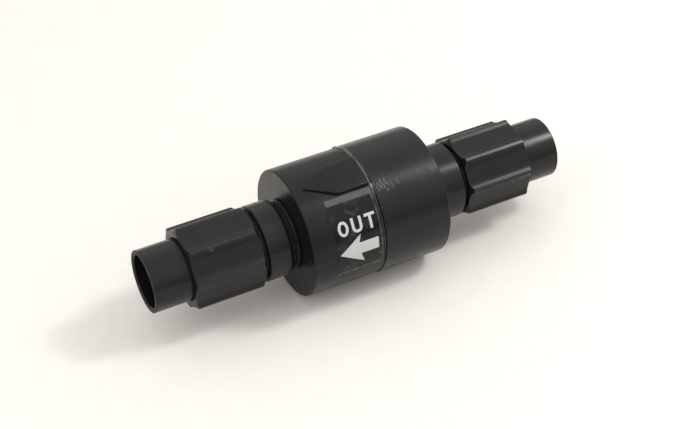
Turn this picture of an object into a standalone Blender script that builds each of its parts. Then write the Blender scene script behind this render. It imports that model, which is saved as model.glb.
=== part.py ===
"""In-line spring check valve with a union at each end.

The valve's axis is X. Water enters at +X (the inlet) and leaves at -X (the outlet).
The origin is on the axis, in the middle of the valve. Units are metres, +Z up.

Root body : two cup-shaped casings cemented together, an end connector cemented into
            each, and between them the clamped cartridge: seat ring, spacer sleeve and
            guide spider.
Poppet    : disc, rubber seal, retainer and stem. It slides along X to open, against
            a coil spring.
Unions    : a tailpiece at each end, drawn up to its connector by a ribbed nut that turns
            about X while both move along X.
"""

import math

import bmesh
import bpy
from mathutils import Vector

MM = 0.001

# ---- shared fits ---------------------------------------------------------------------
GAP = 0.3 * MM                      # clearance between two pieces that touch
FLOW_BORE = 20.45 * MM              # radius of the water way in connectors and tailpieces

# ---- casings -------------------------------------------------------------------------
BODY_RADIUS = 50.8 * MM             # inlet half
OUTLET_BODY_RADIUS = 50.2 * MM      # outlet half, a little smaller
BODY_HALF_LENGTH = 57.5 * MM
END_WALL = 6.5 * MM
CASING_RIM = 1.0 * MM               # rounding of the outer rims
CHAMBER_RADIUS = 42.8 * MM          # inside radius behind the cartridge
CARTRIDGE_BORE = 45.8 * MM          # inside radius where the cartridge sits
SEAM_X = 1.5 * MM                   # where the two casings meet
SEAM_CHAMFER = 1.6 * MM             # each casing's half of the V groove round the seam
SPIGOT_RADIUS = 48.0 * MM           # outlet casing's spigot, in the inlet casing's socket
SPIGOT_LENGTH = 10.7 * MM
SPIGOT_LEAD = 0.6 * MM              # chamfer on the spigot's end
SEAM_BEAD_RADIUS = 0.4 * MM         # cement bead lying in the V groove
SEAM_BEAD_CENTRE = 49.9 * MM

# ---- raised pad on the outlet casing: a flat five-sided plate pointing to the outlet ---
PAD_ANGLE = math.radians(75.0)      # direction it faces, from -Y up towards +Z
PAD_FACE_AT_TIP = 51.7 * MM         # its flat face, measured from the axis, rises to the seam
PAD_FACE_AT_END = 52.6 * MM
PAD_ROOT = 48.5 * MM                # its buried underside
PAD_HALF_WIDTH = 13.2 * MM
PAD_TIP_X = -49.2 * MM
PAD_SHOULDER_X = -26.0 * MM
PAD_END_X = -0.6 * MM

# ---- end connectors ------------------------------------------------------------------
HUB_RADIUS = 26.0 * MM              # the part that passes through the end wall
HUB_FLANGE_RADIUS = 34.0 * MM       # flange against the inside of the end wall
HUB_FLANGE_WIDTH = 4.0 * MM
LIP_RADIUS = 27.8 * MM              # low lip standing on the end wall, round the neck
LIP_END = 59.8 * MM
NECK_RADIUS = 26.7 * MM
COLLAR_RADIUS = 29.85 * MM
COLLAR_START = 64.5 * MM
COLLAR_END = 83.6 * MM
COLLAR_SHOULDER = 2.2 * MM          # soft rounding on the body side
COLLAR_EDGE = 0.9 * MM              # smaller rounding on the nut side
EDGE_CHAMFER = 0.5 * MM
UNDERCUT_RADIUS = 25.2 * MM         # relief behind the barrel
UNDERCUT_END = 86.5 * MM
BARREL_RADIUS = 26.4 * MM           # thread's outer radius
BARREL_END = 133.0 * MM
RING_GROOVE_INNER = 22.1 * MM       # groove for the union O-ring in the barrel's end face
RING_GROOVE_OUTER = 24.5 * MM
RING_GROOVE_DEPTH = 2.4 * MM
UNION_RING_WIRE = 0.9 * MM          # the O-ring's section radius

# ---- tailpieces ----------------------------------------------------------------------
TAIL_FLANGE_X = 133.5 * MM
TAIL_FLANGE_WIDTH = 5.2 * MM
TAIL_FLANGE_RADIUS = 26.0 * MM
TAIL_RADIUS = 24.15 * MM            # outside of 1 1/2 inch pipe
TAIL_END = 172.5 * MM
TAIL_EDGE = 0.5 * MM
MOUTH_CHAMFER = 0.8 * MM

# ---- union nuts ----------------------------------------------------------------------
NUT_START = 86.8 * MM
NUT_END = 143.0 * MM
NUT_SIDES = 8
NUT_FLAT = 29.3 * MM                # from the axis to a flat
NUT_RIB_TOP = 32.9 * MM             # from the axis to the top of a rib
NUT_RIB_HALF_TOP = 1.4 * MM
NUT_RIB_HALF_FOOT = 4.6 * MM
NUT_RIB_ANGLE = math.radians(14.0)  # one rib's direction, from -Y up towards +Z
NUT_START_RADIUS = 28.8 * MM        # both ends of the outside are turned to a cone
NUT_START_CONE = 2.4 * MM
NUT_END_RADIUS = 28.4 * MM
NUT_END_CONE = 1.6 * MM
NUT_SKIRT_BORE = 27.2 * MM
NUT_SKIRT_END = 110.0 * MM
NUT_MOUTH_CHAMFER = 0.6 * MM
NUT_THREAD_BORE = 26.8 * MM
NUT_SHOULDER_X = 139.0 * MM         # inner face that bears on the tailpiece's flange
NUT_SHOULDER_BORE = 24.6 * MM
CUT_MARGIN = 1.0 * MM               # how far a cutter runs past what it cuts

# ---- cartridge: seat ring, spacer sleeve, guide spider --------------------------------
CARTRIDGE_RADIUS = 45.4 * MM
SEAT_FACE_X = 20.0 * MM
SEAT_BACK_X = 26.0 * MM
SEAT_BORE = 20.5 * MM
SEAT_LIP_RADIUS = 23.5 * MM
SEAT_LIP_HEIGHT = 1.4 * MM
SEAT_LEAD = 2.0 * MM                # chamfer on the inlet side of the bore
SEAT_RING_WIRE = 1.1 * MM           # section radius of the O-ring round the seat ring
SLEEVE_BORE = 43.4 * MM
SPIDER_FACE_X = -26.0 * MM
SPIDER_BACK_X = -34.0 * MM
SPIDER_RIM_BORE = 41.8 * MM
SPIDER_ARM_WIDTH = 6.0 * MM
SPIDER_ARM_FACE_X = -28.0 * MM
SPIDER_ARM_BACK_X = -32.0 * MM
SPIDER_ARM_REACH = 43.0 * MM        # the arms end inside the rim
SPIDER_HUB_RADIUS = 9.0 * MM
SPIDER_HUB_FACE_X = -22.0 * MM
SPIDER_HUB_BACK_X = -40.0 * MM
SPIDER_HUB_BORE = 5.3 * MM
SPIDER_HUB_CHAMFER = 0.6 * MM
BUSH_BORE = 3.6 * MM
BUSH_COLLAR_RADIUS = 7.5 * MM
BUSH_COLLAR_WIDTH = 1.5 * MM

# ---- poppet --------------------------------------------------------------------------
LIFT = 12.0 * MM                    # travel from the seat to the stop
STEM_RADIUS = 3.3 * MM
STEM_STOP_RADIUS = 5.0 * MM         # thick length that meets the bush when fully open
STEM_BACK_X = -46.0 * MM
STEM_NOSE_X = 29.5 * MM
STEM_CHAMFER = 0.6 * MM
DISC_RADIUS = 25.0 * MM
DISC_WIDTH = 4.0 * MM
DISC_EDGE = 1.0 * MM
SEAL_RADIUS = 24.5 * MM
SEAL_WIDTH = 2.7 * MM
RETAINER_RADIUS = 17.0 * MM
RETAINER_RIM = 1.2 * MM             # straight edge of the domed retainer
RETAINER_HEIGHT = 4.4 * MM
RETAINER_TOP_RADIUS = 7.0 * MM
STEM_NUT_SIDES = 6
STEM_NUT_FLAT = 5.0 * MM
STEM_NUT_HEIGHT = 5.0 * MM
CLIP_X = -44.0 * MM
CLIP_HALF_WIDTH = 0.5 * MM
CLIP_RADIUS = 6.5 * MM
CLIP_GROOVE_RADIUS = 2.5 * MM
CLIP_MOUTH_HALF_ANGLE = math.radians(35.0)

# ---- spring --------------------------------------------------------------------------
SPRING_RADIUS = 11.5 * MM           # to the middle of the wire
SPRING_WIRE = 0.8 * MM              # the wire's radius
SPRING_OPEN_TURNS = 5
SPRING_END_TURNS = 1                # closed turns at each end
SPRING_END_PITCH = 1.9 * MM
SPRING_POINTS_PER_TURN = 12

# ---- flow label: a thin clear film on the outlet casing --------------------------------
LABEL_START_X = -38.6 * MM
LABEL_END_X = -0.8 * MM
LABEL_LOW_ANGLE = math.radians(-14.8)
LABEL_HIGH_ANGLE = math.radians(57.0)
LABEL_THICKNESS = 0.25 * MM
LABEL_STEPS = 16

# ---- mesh fineness --------------------------------------------------------------------
BODY_STEPS = 48
TUBE_STEPS = 36
SMALL_STEPS = 20
RING_STEPS = 32
RING_SECTION_STEPS = 6
ARC_STEPS = 2
SHARP_ANGLE = math.radians(30.0)
MERGE_DISTANCE = 1e-6

# The seal lies against the seat's lip, and the disc behind the seal.
SEAL_FACE_X = SEAT_FACE_X - SEAT_LIP_HEIGHT - GAP
DISC_FACE_X = SEAL_FACE_X - SEAL_WIDTH - GAP
DISC_BACK_X = DISC_FACE_X - DISC_WIDTH
RETAINER_X = SEAL_FACE_X + GAP
BUSH_FACE_X = SPIDER_HUB_FACE_X + GAP + BUSH_COLLAR_WIDTH
STEM_STOP_X = BUSH_FACE_X + GAP + LIFT

BLACK_PLASTIC = ("black_plastic", (0.028, 0.030, 0.030), 0.32, 0.0)
CASING_PLASTIC = ("casing_plastic", (0.030, 0.032, 0.033), 0.30, 0.0)
NUT_PLASTIC = ("nut_plastic", (0.032, 0.033, 0.032), 0.36, 0.0)
CEMENT = ("cement", (0.060, 0.062, 0.062), 0.12, 0.0)
GREY_PLASTIC = ("grey_plastic", (0.30, 0.31, 0.32), 0.45, 0.0)
WHITE_PLASTIC = ("white_plastic", (0.78, 0.77, 0.73), 0.40, 0.0)
RUBBER = ("rubber", (0.018, 0.018, 0.018), 0.75, 0.0)
STEEL = ("stainless_steel", (0.62, 0.62, 0.60), 0.25, 1.0)
LABEL_FILM = ("label_film", (0.09, 0.09, 0.09), 0.08, 0.0)


def clear_scene():
    """Remove every object of the opening scene."""
    for item in list(bpy.data.objects):
        bpy.data.objects.remove(item, do_unlink=True)


def make_material(finish):
    """A Principled material from (name, colour, roughness, metallic), made once."""
    name, colour, roughness, metallic = finish
    if name in bpy.data.materials:
        return bpy.data.materials[name]
    material = bpy.data.materials.new(name)
    material.use_nodes = True
    shader = material.node_tree.nodes["Principled BSDF"]
    shader.inputs["Base Color"].default_value = (*colour, 1.0)
    shader.inputs["Roughness"].default_value = roughness
    shader.inputs["Metallic"].default_value = metallic
    material.diffuse_color = (*colour, 1.0)
    return material


def finish_mesh(name, bm, finish):
    """Turn a closed bmesh into a smooth-shaded object whose faces point out."""
    bmesh.ops.remove_doubles(bm, verts=bm.verts, dist=MERGE_DISTANCE)
    bmesh.ops.recalc_face_normals(bm, faces=bm.faces)
    mesh = bpy.data.meshes.new(name)
    bm.to_mesh(mesh)
    bm.free()
    mesh.shade_smooth()
    mesh.set_sharp_from_angle(angle=SHARP_ANGLE)
    item = bpy.data.objects.new(name, mesh)
    bpy.context.scene.collection.objects.link(item)
    if finish is not None:
        item.data.materials.append(make_material(finish))
    return item


def radial(angle):
    """Unit vector at an angle round the axis, from -Y (0) up towards +Z (90 degrees)."""
    return Vector((0.0, -math.cos(angle), math.sin(angle)))


def arc(centre_x, centre_r, radius, start, end, steps=ARC_STEPS):
    """Points of an arc in the (x, r) half plane, angles in degrees from the +X direction."""
    points = []
    for i in range(steps + 1):
        angle = math.radians(start + (end - start) * i / steps)
        points.append((centre_x + radius * math.cos(angle), centre_r + radius * math.sin(angle)))
    return points


def mirrored(outline):
    """The same outline on the outlet side."""
    return [(-x, r) for x, r in outline]


def turned(name, outline, finish, steps):
    """Spin an (x, r) outline about X. One that starts and ends on the axis is solid."""
    bm = bmesh.new()
    verts = [bm.verts.new((x, 0.0, r)) for x, r in outline]
    edges = [bm.edges.new(pair) for pair in zip(verts, verts[1:])]
    on_axis = outline[0][1] == 0.0 and outline[-1][1] == 0.0
    if not on_axis:
        edges.append(bm.edges.new((verts[-1], verts[0])))
    bmesh.ops.spin(bm, geom=verts + edges, cent=(0.0, 0.0, 0.0), axis=(1.0, 0.0, 0.0),
                   angle=math.tau, steps=steps, use_merge=True)
    return finish_mesh(name, bm, finish)


def prism(name, corners, travel, finish):
    """Extrude a flat outline along a vector."""
    bm = bmesh.new()
    base = bm.faces.new([bm.verts.new(corner) for corner in corners])
    grown = bmesh.ops.extrude_face_region(bm, geom=[base])
    far_verts = [part for part in grown["geom"] if isinstance(part, bmesh.types.BMVert)]
    bmesh.ops.translate(bm, verts=far_verts, vec=travel)
    return finish_mesh(name, bm, finish)


def boolean(target, tool, operation):
    """Join a helper solid to a piece, or cut it away, and keep the helper out of the model."""
    tool.hide_render = True
    tool.display_type = "WIRE"
    step = target.modifiers.new(tool.name, "BOOLEAN")
    step.operation = operation
    step.solver = "EXACT"
    step.object = tool


def o_ring(name, centre_x, centre_r, section):
    """A rubber ring of round section about the axis."""
    outline = arc(centre_x, centre_r, section, 0.0, 360.0, RING_SECTION_STEPS)[:-1]
    return turned(name, outline, RUBBER, RING_STEPS)


# ---- casings --------------------------------------------------------------------------
def make_inlet_casing():
    """Cup with a stepped bore and, at the seam, the socket for the other half's spigot."""
    face = SEAM_X + GAP / 2
    socket_end = face + SPIGOT_LENGTH + GAP
    outline = [
        (face, BODY_RADIUS - SEAM_CHAMFER),
        (face + SEAM_CHAMFER, BODY_RADIUS),
        *arc(BODY_HALF_LENGTH - CASING_RIM, BODY_RADIUS - CASING_RIM, CASING_RIM, 90.0, 0.0),
        (BODY_HALF_LENGTH, HUB_RADIUS + GAP),
        (BODY_HALF_LENGTH - END_WALL, HUB_RADIUS + GAP),
        (BODY_HALF_LENGTH - END_WALL, CHAMBER_RADIUS),
        (SEAT_BACK_X + GAP, CHAMBER_RADIUS),
        (SEAT_BACK_X + GAP, CARTRIDGE_BORE),
        (socket_end, CARTRIDGE_BORE),
        (socket_end, SPIGOT_RADIUS + GAP),
        (face, SPIGOT_RADIUS + GAP),
    ]
    turned("inlet_casing", outline, CASING_PLASTIC, BODY_STEPS)


def make_outlet_casing():
    """Cup with a spigot at the seam and the raised five-sided pad on its outside."""
    face = SEAM_X - GAP / 2
    spigot_end = face + SPIGOT_LENGTH
    outline = [
        (spigot_end, CARTRIDGE_BORE),
        (spigot_end, SPIGOT_RADIUS - SPIGOT_LEAD),
        (spigot_end - SPIGOT_LEAD, SPIGOT_RADIUS),
        (face, SPIGOT_RADIUS),
        (face, OUTLET_BODY_RADIUS - SEAM_CHAMFER),
        (face - SEAM_CHAMFER, OUTLET_BODY_RADIUS),
        *arc(CASING_RIM - BODY_HALF_LENGTH, OUTLET_BODY_RADIUS - CASING_RIM,
             CASING_RIM, 90.0, 180.0),
        (-BODY_HALF_LENGTH, HUB_RADIUS + GAP),
        (END_WALL - BODY_HALF_LENGTH, HUB_RADIUS + GAP),
        (END_WALL - BODY_HALF_LENGTH, CHAMBER_RADIUS),
        (SPIDER_BACK_X - GAP, CHAMBER_RADIUS),
        (SPIDER_BACK_X - GAP, CARTRIDGE_BORE),
    ]
    casing = turned("outlet_casing", outline, CASING_PLASTIC, BODY_STEPS)
    boolean(casing, pad_shape(), "UNION")


def pad_shape():
    """The pad's block, with its face a little higher at the seam than at its tip."""
    out = radial(PAD_ANGLE)
    across = radial(PAD_ANGLE + math.pi / 2)
    rise = (PAD_FACE_AT_END - PAD_FACE_AT_TIP) / (PAD_END_X - PAD_TIP_X)
    plan = [
        (PAD_TIP_X, 0.0),
        (PAD_SHOULDER_X, PAD_HALF_WIDTH),
        (PAD_END_X, PAD_HALF_WIDTH),
        (PAD_END_X, -PAD_HALF_WIDTH),
        (PAD_SHOULDER_X, -PAD_HALF_WIDTH),
    ]
    bm = bmesh.new()
    roots = []
    tops = []
    for x, w in plan:
        foot = Vector((x, 0.0, 0.0)) + across * w
        roots.append(bm.verts.new(foot + out * PAD_ROOT))
        tops.append(bm.verts.new(foot + out * (PAD_FACE_AT_TIP + rise * (x - PAD_TIP_X))))
    bm.faces.new(roots)
    bm.faces.new(tops)
    for i, root in enumerate(roots):
        bm.faces.new((roots[i - 1], root, tops[i], tops[i - 1]))
    return finish_mesh("pad_shape", bm, None)


def make_seam_bead():
    """Line of set cement in the V groove between the casings."""
    outline = arc(SEAM_X, SEAM_BEAD_CENTRE, SEAM_BEAD_RADIUS, 0.0, 360.0, RING_SECTION_STEPS)
    turned("seam_bead", outline[:-1], CEMENT, BODY_STEPS)


# ---- end connectors and unions ----------------------------------------------------------
def connector_outline():
    """Flange, hub, lip, neck, collar and threaded barrel, with the O-ring groove."""
    inner_wall = BODY_HALF_LENGTH - END_WALL - GAP
    lip_start = BODY_HALF_LENGTH + GAP
    return [
        (inner_wall - HUB_FLANGE_WIDTH, FLOW_BORE),
        (inner_wall - HUB_FLANGE_WIDTH, HUB_FLANGE_RADIUS),
        (inner_wall, HUB_FLANGE_RADIUS),
        (inner_wall, HUB_RADIUS),
        (lip_start, HUB_RADIUS),
        (lip_start, LIP_RADIUS),
        (LIP_END, LIP_RADIUS),
        (LIP_END, NECK_RADIUS),
        (COLLAR_START, NECK_RADIUS),
        *arc(COLLAR_START + COLLAR_SHOULDER, COLLAR_RADIUS - COLLAR_SHOULDER,
             COLLAR_SHOULDER, 180.0, 90.0),
        *arc(COLLAR_END - COLLAR_EDGE, COLLAR_RADIUS - COLLAR_EDGE, COLLAR_EDGE, 90.0, 0.0),
        (COLLAR_END, UNDERCUT_RADIUS),
        (UNDERCUT_END, UNDERCUT_RADIUS),
        (UNDERCUT_END + BARREL_RADIUS - UNDERCUT_RADIUS, BARREL_RADIUS),
        (BARREL_END - EDGE_CHAMFER, BARREL_RADIUS),
        (BARREL_END, BARREL_RADIUS - EDGE_CHAMFER),
        (BARREL_END, RING_GROOVE_OUTER),
        (BARREL_END - RING_GROOVE_DEPTH, RING_GROOVE_OUTER),
        (BARREL_END - RING_GROOVE_DEPTH, RING_GROOVE_INNER),
        (BARREL_END, RING_GROOVE_INNER),
        (BARREL_END, FLOW_BORE),
    ]


def tail_outline():
    """Flange and plain pipe-size tail, chamfered inside its mouth."""
    flange_back = TAIL_FLANGE_X + TAIL_FLANGE_WIDTH
    return [
        (TAIL_FLANGE_X, FLOW_BORE),
        (TAIL_FLANGE_X, TAIL_FLANGE_RADIUS),
        (flange_back, TAIL_FLANGE_RADIUS),
        (flange_back, TAIL_RADIUS),
        (TAIL_END - TAIL_EDGE, TAIL_RADIUS),
        (TAIL_END, TAIL_RADIUS - TAIL_EDGE),
        (TAIL_END, FLOW_BORE + MOUTH_CHAMFER),
        (TAIL_END - MOUTH_CHAMFER, FLOW_BORE),
    ]


def nut_envelope_outline():
    """Turned limit of a nut's outside: a cone at each end cuts back the ribs' ends."""
    return [
        (NUT_START, 0.0),
        (NUT_START, NUT_START_RADIUS),
        (NUT_START + NUT_START_CONE, NUT_RIB_TOP),
        (NUT_START + NUT_START_CONE, NUT_RIB_TOP + CUT_MARGIN),
        (NUT_END - NUT_END_CONE, NUT_RIB_TOP + CUT_MARGIN),
        (NUT_END - NUT_END_CONE, NUT_RIB_TOP),
        (NUT_END, NUT_END_RADIUS),
        (NUT_END, 0.0),
    ]


def nut_bore_outline():
    """Cutter for a nut's inside: mouth chamfer, skirt, thread bore and shoulder bore."""
    mouth = NUT_MOUTH_CHAMFER + CUT_MARGIN
    return [
        (NUT_START - CUT_MARGIN, 0.0),
        (NUT_START - CUT_MARGIN, NUT_SKIRT_BORE + mouth),
        (NUT_START - CUT_MARGIN + mouth, NUT_SKIRT_BORE),
        (NUT_SKIRT_END, NUT_SKIRT_BORE),
        (NUT_SKIRT_END + NUT_SKIRT_BORE - NUT_THREAD_BORE, NUT_THREAD_BORE),
        (NUT_SHOULDER_X, NUT_THREAD_BORE),
        (NUT_SHOULDER_X, NUT_SHOULDER_BORE),
        (NUT_END + CUT_MARGIN, NUT_SHOULDER_BORE),
        (NUT_END + CUT_MARGIN, 0.0),
    ]


def nut_section(x):
    """The nut's outside across the axis: eight flats with a rib along each corner."""
    corner = NUT_FLAT / math.cos(math.pi / NUT_SIDES)
    foot = corner - NUT_RIB_HALF_FOOT * math.tan(math.pi / NUT_SIDES)
    rib = [
        (-NUT_RIB_HALF_FOOT, foot),
        (-NUT_RIB_HALF_TOP, NUT_RIB_TOP),
        (NUT_RIB_HALF_TOP, NUT_RIB_TOP),
        (NUT_RIB_HALF_FOOT, foot),
    ]
    points = []
    for side in range(NUT_SIDES):
        angle = NUT_RIB_ANGLE + math.tau * side / NUT_SIDES
        for sideways, outwards in rib:
            offset = radial(angle) * outwards + radial(angle + math.pi / 2) * sideways
            points.append(Vector((x, 0.0, 0.0)) + offset)
    return points


def make_union(end, sign):
    """Connector, O-ring, tailpiece and nut of one end; sign is +1 inlet, -1 outlet."""
    place = mirrored if sign < 0 else list
    turned(f"{end}_connector", place(connector_outline()), BLACK_PLASTIC, TUBE_STEPS)
    ring_x = BARREL_END - RING_GROOVE_DEPTH + UNION_RING_WIRE + GAP
    ring_r = (RING_GROOVE_INNER + RING_GROOVE_OUTER) / 2
    o_ring(f"{end}_union_oring", sign * ring_x, ring_r, UNION_RING_WIRE)
    turned(f"{end}_tailpiece", place(tail_outline()), BLACK_PLASTIC, TUBE_STEPS)
    length = Vector((sign * (NUT_END - NUT_START + 2 * CUT_MARGIN), 0.0, 0.0))
    section = nut_section(sign * (NUT_START - CUT_MARGIN))
    nut = prism(f"{end}_union_nut", section, length, NUT_PLASTIC)
    envelope = turned(f"{end}_nut_ends_cut", place(nut_envelope_outline()), None, BODY_STEPS)
    boolean(nut, envelope, "INTERSECT")
    bore = turned(f"{end}_nut_bore_cut", place(nut_bore_outline()), None, TUBE_STEPS)
    boolean(nut, bore, "DIFFERENCE")


# ---- cartridge --------------------------------------------------------------------------
def make_seat():
    """Seat ring with a raised lip round its bore, and the O-ring in its rim."""
    middle = (SEAT_FACE_X + SEAT_BACK_X) / 2
    ring_centre = CARTRIDGE_RADIUS - SEAT_RING_WIRE
    half_groove = SEAT_RING_WIRE + GAP
    groove_floor = ring_centre - SEAT_RING_WIRE - GAP
    outline = [
        (SEAT_FACE_X - SEAT_LIP_HEIGHT, SEAT_BORE),
        (SEAT_FACE_X - SEAT_LIP_HEIGHT, SEAT_LIP_RADIUS),
        (SEAT_FACE_X, SEAT_LIP_RADIUS + SEAT_LIP_HEIGHT),
        (SEAT_FACE_X, CARTRIDGE_RADIUS),
        (middle - half_groove, CARTRIDGE_RADIUS),
        (middle - half_groove, groove_floor),
        (middle + half_groove, groove_floor),
        (middle + half_groove, CARTRIDGE_RADIUS),
        (SEAT_BACK_X, CARTRIDGE_RADIUS),
        (SEAT_BACK_X, SEAT_BORE + SEAT_LEAD),
        (SEAT_BACK_X - SEAT_LEAD, SEAT_BORE),
    ]
    turned("seat_ring", outline, GREY_PLASTIC, TUBE_STEPS)
    o_ring("seat_oring", middle, ring_centre, SEAT_RING_WIRE)


def make_spacer_sleeve():
    """Thin sleeve that holds the seat ring and the guide spider apart."""
    left = SPIDER_FACE_X + GAP
    right = SEAT_FACE_X - GAP
    outline = [
        (left, SLEEVE_BORE),
        (left, CARTRIDGE_RADIUS),
        (right, CARTRIDGE_RADIUS),
        (right, SLEEVE_BORE),
    ]
    turned("spacer_sleeve", outline, GREY_PLASTIC, TUBE_STEPS)


def spider_arm(name, half_y, half_z):
    """A bar across the spider, centred on the axis."""
    corners = [
        (SPIDER_ARM_BACK_X, -half_y, -half_z),
        (SPIDER_ARM_BACK_X, half_y, -half_z),
        (SPIDER_ARM_BACK_X, half_y, half_z),
        (SPIDER_ARM_BACK_X, -half_y, half_z),
    ]
    thickness = Vector((SPIDER_ARM_FACE_X - SPIDER_ARM_BACK_X, 0.0, 0.0))
    return prism(name, corners, thickness, None)


def make_guide():
    """Four-armed spider that carries the stem's bush on the axis."""
    rim = [
        (SPIDER_BACK_X, SPIDER_RIM_BORE),
        (SPIDER_BACK_X, CARTRIDGE_RADIUS),
        (SPIDER_FACE_X, CARTRIDGE_RADIUS),
        (SPIDER_FACE_X, SPIDER_RIM_BORE),
    ]
    hub = [
        (SPIDER_HUB_BACK_X, 0.0),
        (SPIDER_HUB_BACK_X, SPIDER_HUB_RADIUS - SPIDER_HUB_CHAMFER),
        (SPIDER_HUB_BACK_X + SPIDER_HUB_CHAMFER, SPIDER_HUB_RADIUS),
        (SPIDER_HUB_FACE_X, SPIDER_HUB_RADIUS),
        (SPIDER_HUB_FACE_X, 0.0),
    ]
    bore = [
        (SPIDER_HUB_BACK_X - CUT_MARGIN, 0.0),
        (SPIDER_HUB_BACK_X - CUT_MARGIN, SPIDER_HUB_BORE),
        (SPIDER_HUB_FACE_X + CUT_MARGIN, SPIDER_HUB_BORE),
        (SPIDER_HUB_FACE_X + CUT_MARGIN, 0.0),
    ]
    half = SPIDER_ARM_WIDTH / 2
    spider = turned("guide_spider", rim, GREY_PLASTIC, TUBE_STEPS)
    boolean(spider, turned("spider_hub_shape", hub, None, SMALL_STEPS), "UNION")
    boolean(spider, spider_arm("spider_arm_shape_y", SPIDER_ARM_REACH, half), "UNION")
    boolean(spider, spider_arm("spider_arm_shape_z", half, SPIDER_ARM_REACH), "UNION")
    boolean(spider, turned("spider_bore_cut", bore, None, SMALL_STEPS), "DIFFERENCE")
    bush_back = SPIDER_HUB_BACK_X + GAP
    collar_back = SPIDER_HUB_FACE_X + GAP
    bush = [
        (bush_back, BUSH_BORE),
        (bush_back, SPIDER_HUB_BORE - GAP),
        (collar_back, SPIDER_HUB_BORE - GAP),
        (collar_back, BUSH_COLLAR_RADIUS),
        (BUSH_FACE_X, BUSH_COLLAR_RADIUS),
        (BUSH_FACE_X, BUSH_BORE),
    ]
    turned("guide_bush", bush, WHITE_PLASTIC, SMALL_STEPS)


# ---- poppet -----------------------------------------------------------------------------
def make_stem():
    """Stem with a thick length that stops the lift, and a groove for the clip."""
    groove_left = CLIP_X - CLIP_HALF_WIDTH - GAP
    groove_right = CLIP_X + CLIP_HALF_WIDTH + GAP
    outline = [
        (STEM_BACK_X, 0.0),
        (STEM_BACK_X, STEM_RADIUS - STEM_CHAMFER),
        (STEM_BACK_X + STEM_CHAMFER, STEM_RADIUS),
        (groove_left, STEM_RADIUS),
        (groove_left, CLIP_GROOVE_RADIUS - GAP),
        (groove_right, CLIP_GROOVE_RADIUS - GAP),
        (groove_right, STEM_RADIUS),
        (STEM_STOP_X, STEM_RADIUS),
        (STEM_STOP_X, STEM_STOP_RADIUS),
        (DISC_BACK_X - GAP, STEM_STOP_RADIUS),
        (DISC_BACK_X - GAP, STEM_RADIUS),
        (STEM_NOSE_X - STEM_CHAMFER, STEM_RADIUS),
        (STEM_NOSE_X, STEM_RADIUS - STEM_CHAMFER),
        (STEM_NOSE_X, 0.0),
    ]
    turned("poppet_stem", outline, STEEL, SMALL_STEPS)


def make_stem_clip():
    """Open retaining ring in the stem's groove, behind the guide."""
    inner = []
    outer = []
    sweep = math.tau - 2 * CLIP_MOUTH_HALF_ANGLE
    for i in range(SMALL_STEPS + 1):
        angle = CLIP_MOUTH_HALF_ANGLE + sweep * i / SMALL_STEPS - math.pi / 2
        inner.append(radial(angle) * CLIP_GROOVE_RADIUS)
        outer.append(radial(angle) * CLIP_RADIUS)
    base = Vector((CLIP_X - CLIP_HALF_WIDTH, 0.0, 0.0))
    corners = [base + point for point in outer + inner[::-1]]
    prism("stem_clip", corners, Vector((2 * CLIP_HALF_WIDTH, 0.0, 0.0)), STEEL)


def make_poppet():
    """Disc, rubber seal, domed retainer and nut, all on the stem."""
    bore = STEM_RADIUS + GAP
    disc = [
        (DISC_BACK_X, bore),
        (DISC_BACK_X, DISC_RADIUS - DISC_EDGE),
        (DISC_BACK_X + DISC_EDGE, DISC_RADIUS),
        (DISC_FACE_X, DISC_RADIUS),
        (DISC_FACE_X, bore),
    ]
    turned("poppet_disc", disc, WHITE_PLASTIC, TUBE_STEPS)
    seal = [
        (SEAL_FACE_X - SEAL_WIDTH, bore),
        (SEAL_FACE_X - SEAL_WIDTH, SEAL_RADIUS),
        (SEAL_FACE_X, SEAL_RADIUS),
        (SEAL_FACE_X, bore),
    ]
    turned("poppet_seal", seal, RUBBER, TUBE_STEPS)
    retainer_top = RETAINER_X + RETAINER_HEIGHT
    retainer = [
        (RETAINER_X, bore),
        (RETAINER_X, RETAINER_RADIUS),
        (RETAINER_X + RETAINER_RIM, RETAINER_RADIUS),
        (retainer_top, RETAINER_TOP_RADIUS),
        (retainer_top, bore),
    ]
    turned("seal_retainer", retainer, WHITE_PLASTIC, TUBE_STEPS)
    nut_start = retainer_top + GAP
    corner = STEM_NUT_FLAT / math.cos(math.pi / STEM_NUT_SIDES)
    base = Vector((nut_start, 0.0, 0.0))
    angles = [math.tau * i / STEM_NUT_SIDES for i in range(STEM_NUT_SIDES)]
    corners = [base + radial(angle) * corner for angle in angles]
    nut = prism("stem_nut", corners, Vector((STEM_NUT_HEIGHT, 0.0, 0.0)), STEEL)
    hole = [
        (nut_start - CUT_MARGIN, 0.0),
        (nut_start - CUT_MARGIN, bore),
        (nut_start + STEM_NUT_HEIGHT + CUT_MARGIN, bore),
        (nut_start + STEM_NUT_HEIGHT + CUT_MARGIN, 0.0),
    ]
    boolean(nut, turned("stem_nut_hole_cut", hole, None, SMALL_STEPS), "DIFFERENCE")


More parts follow.
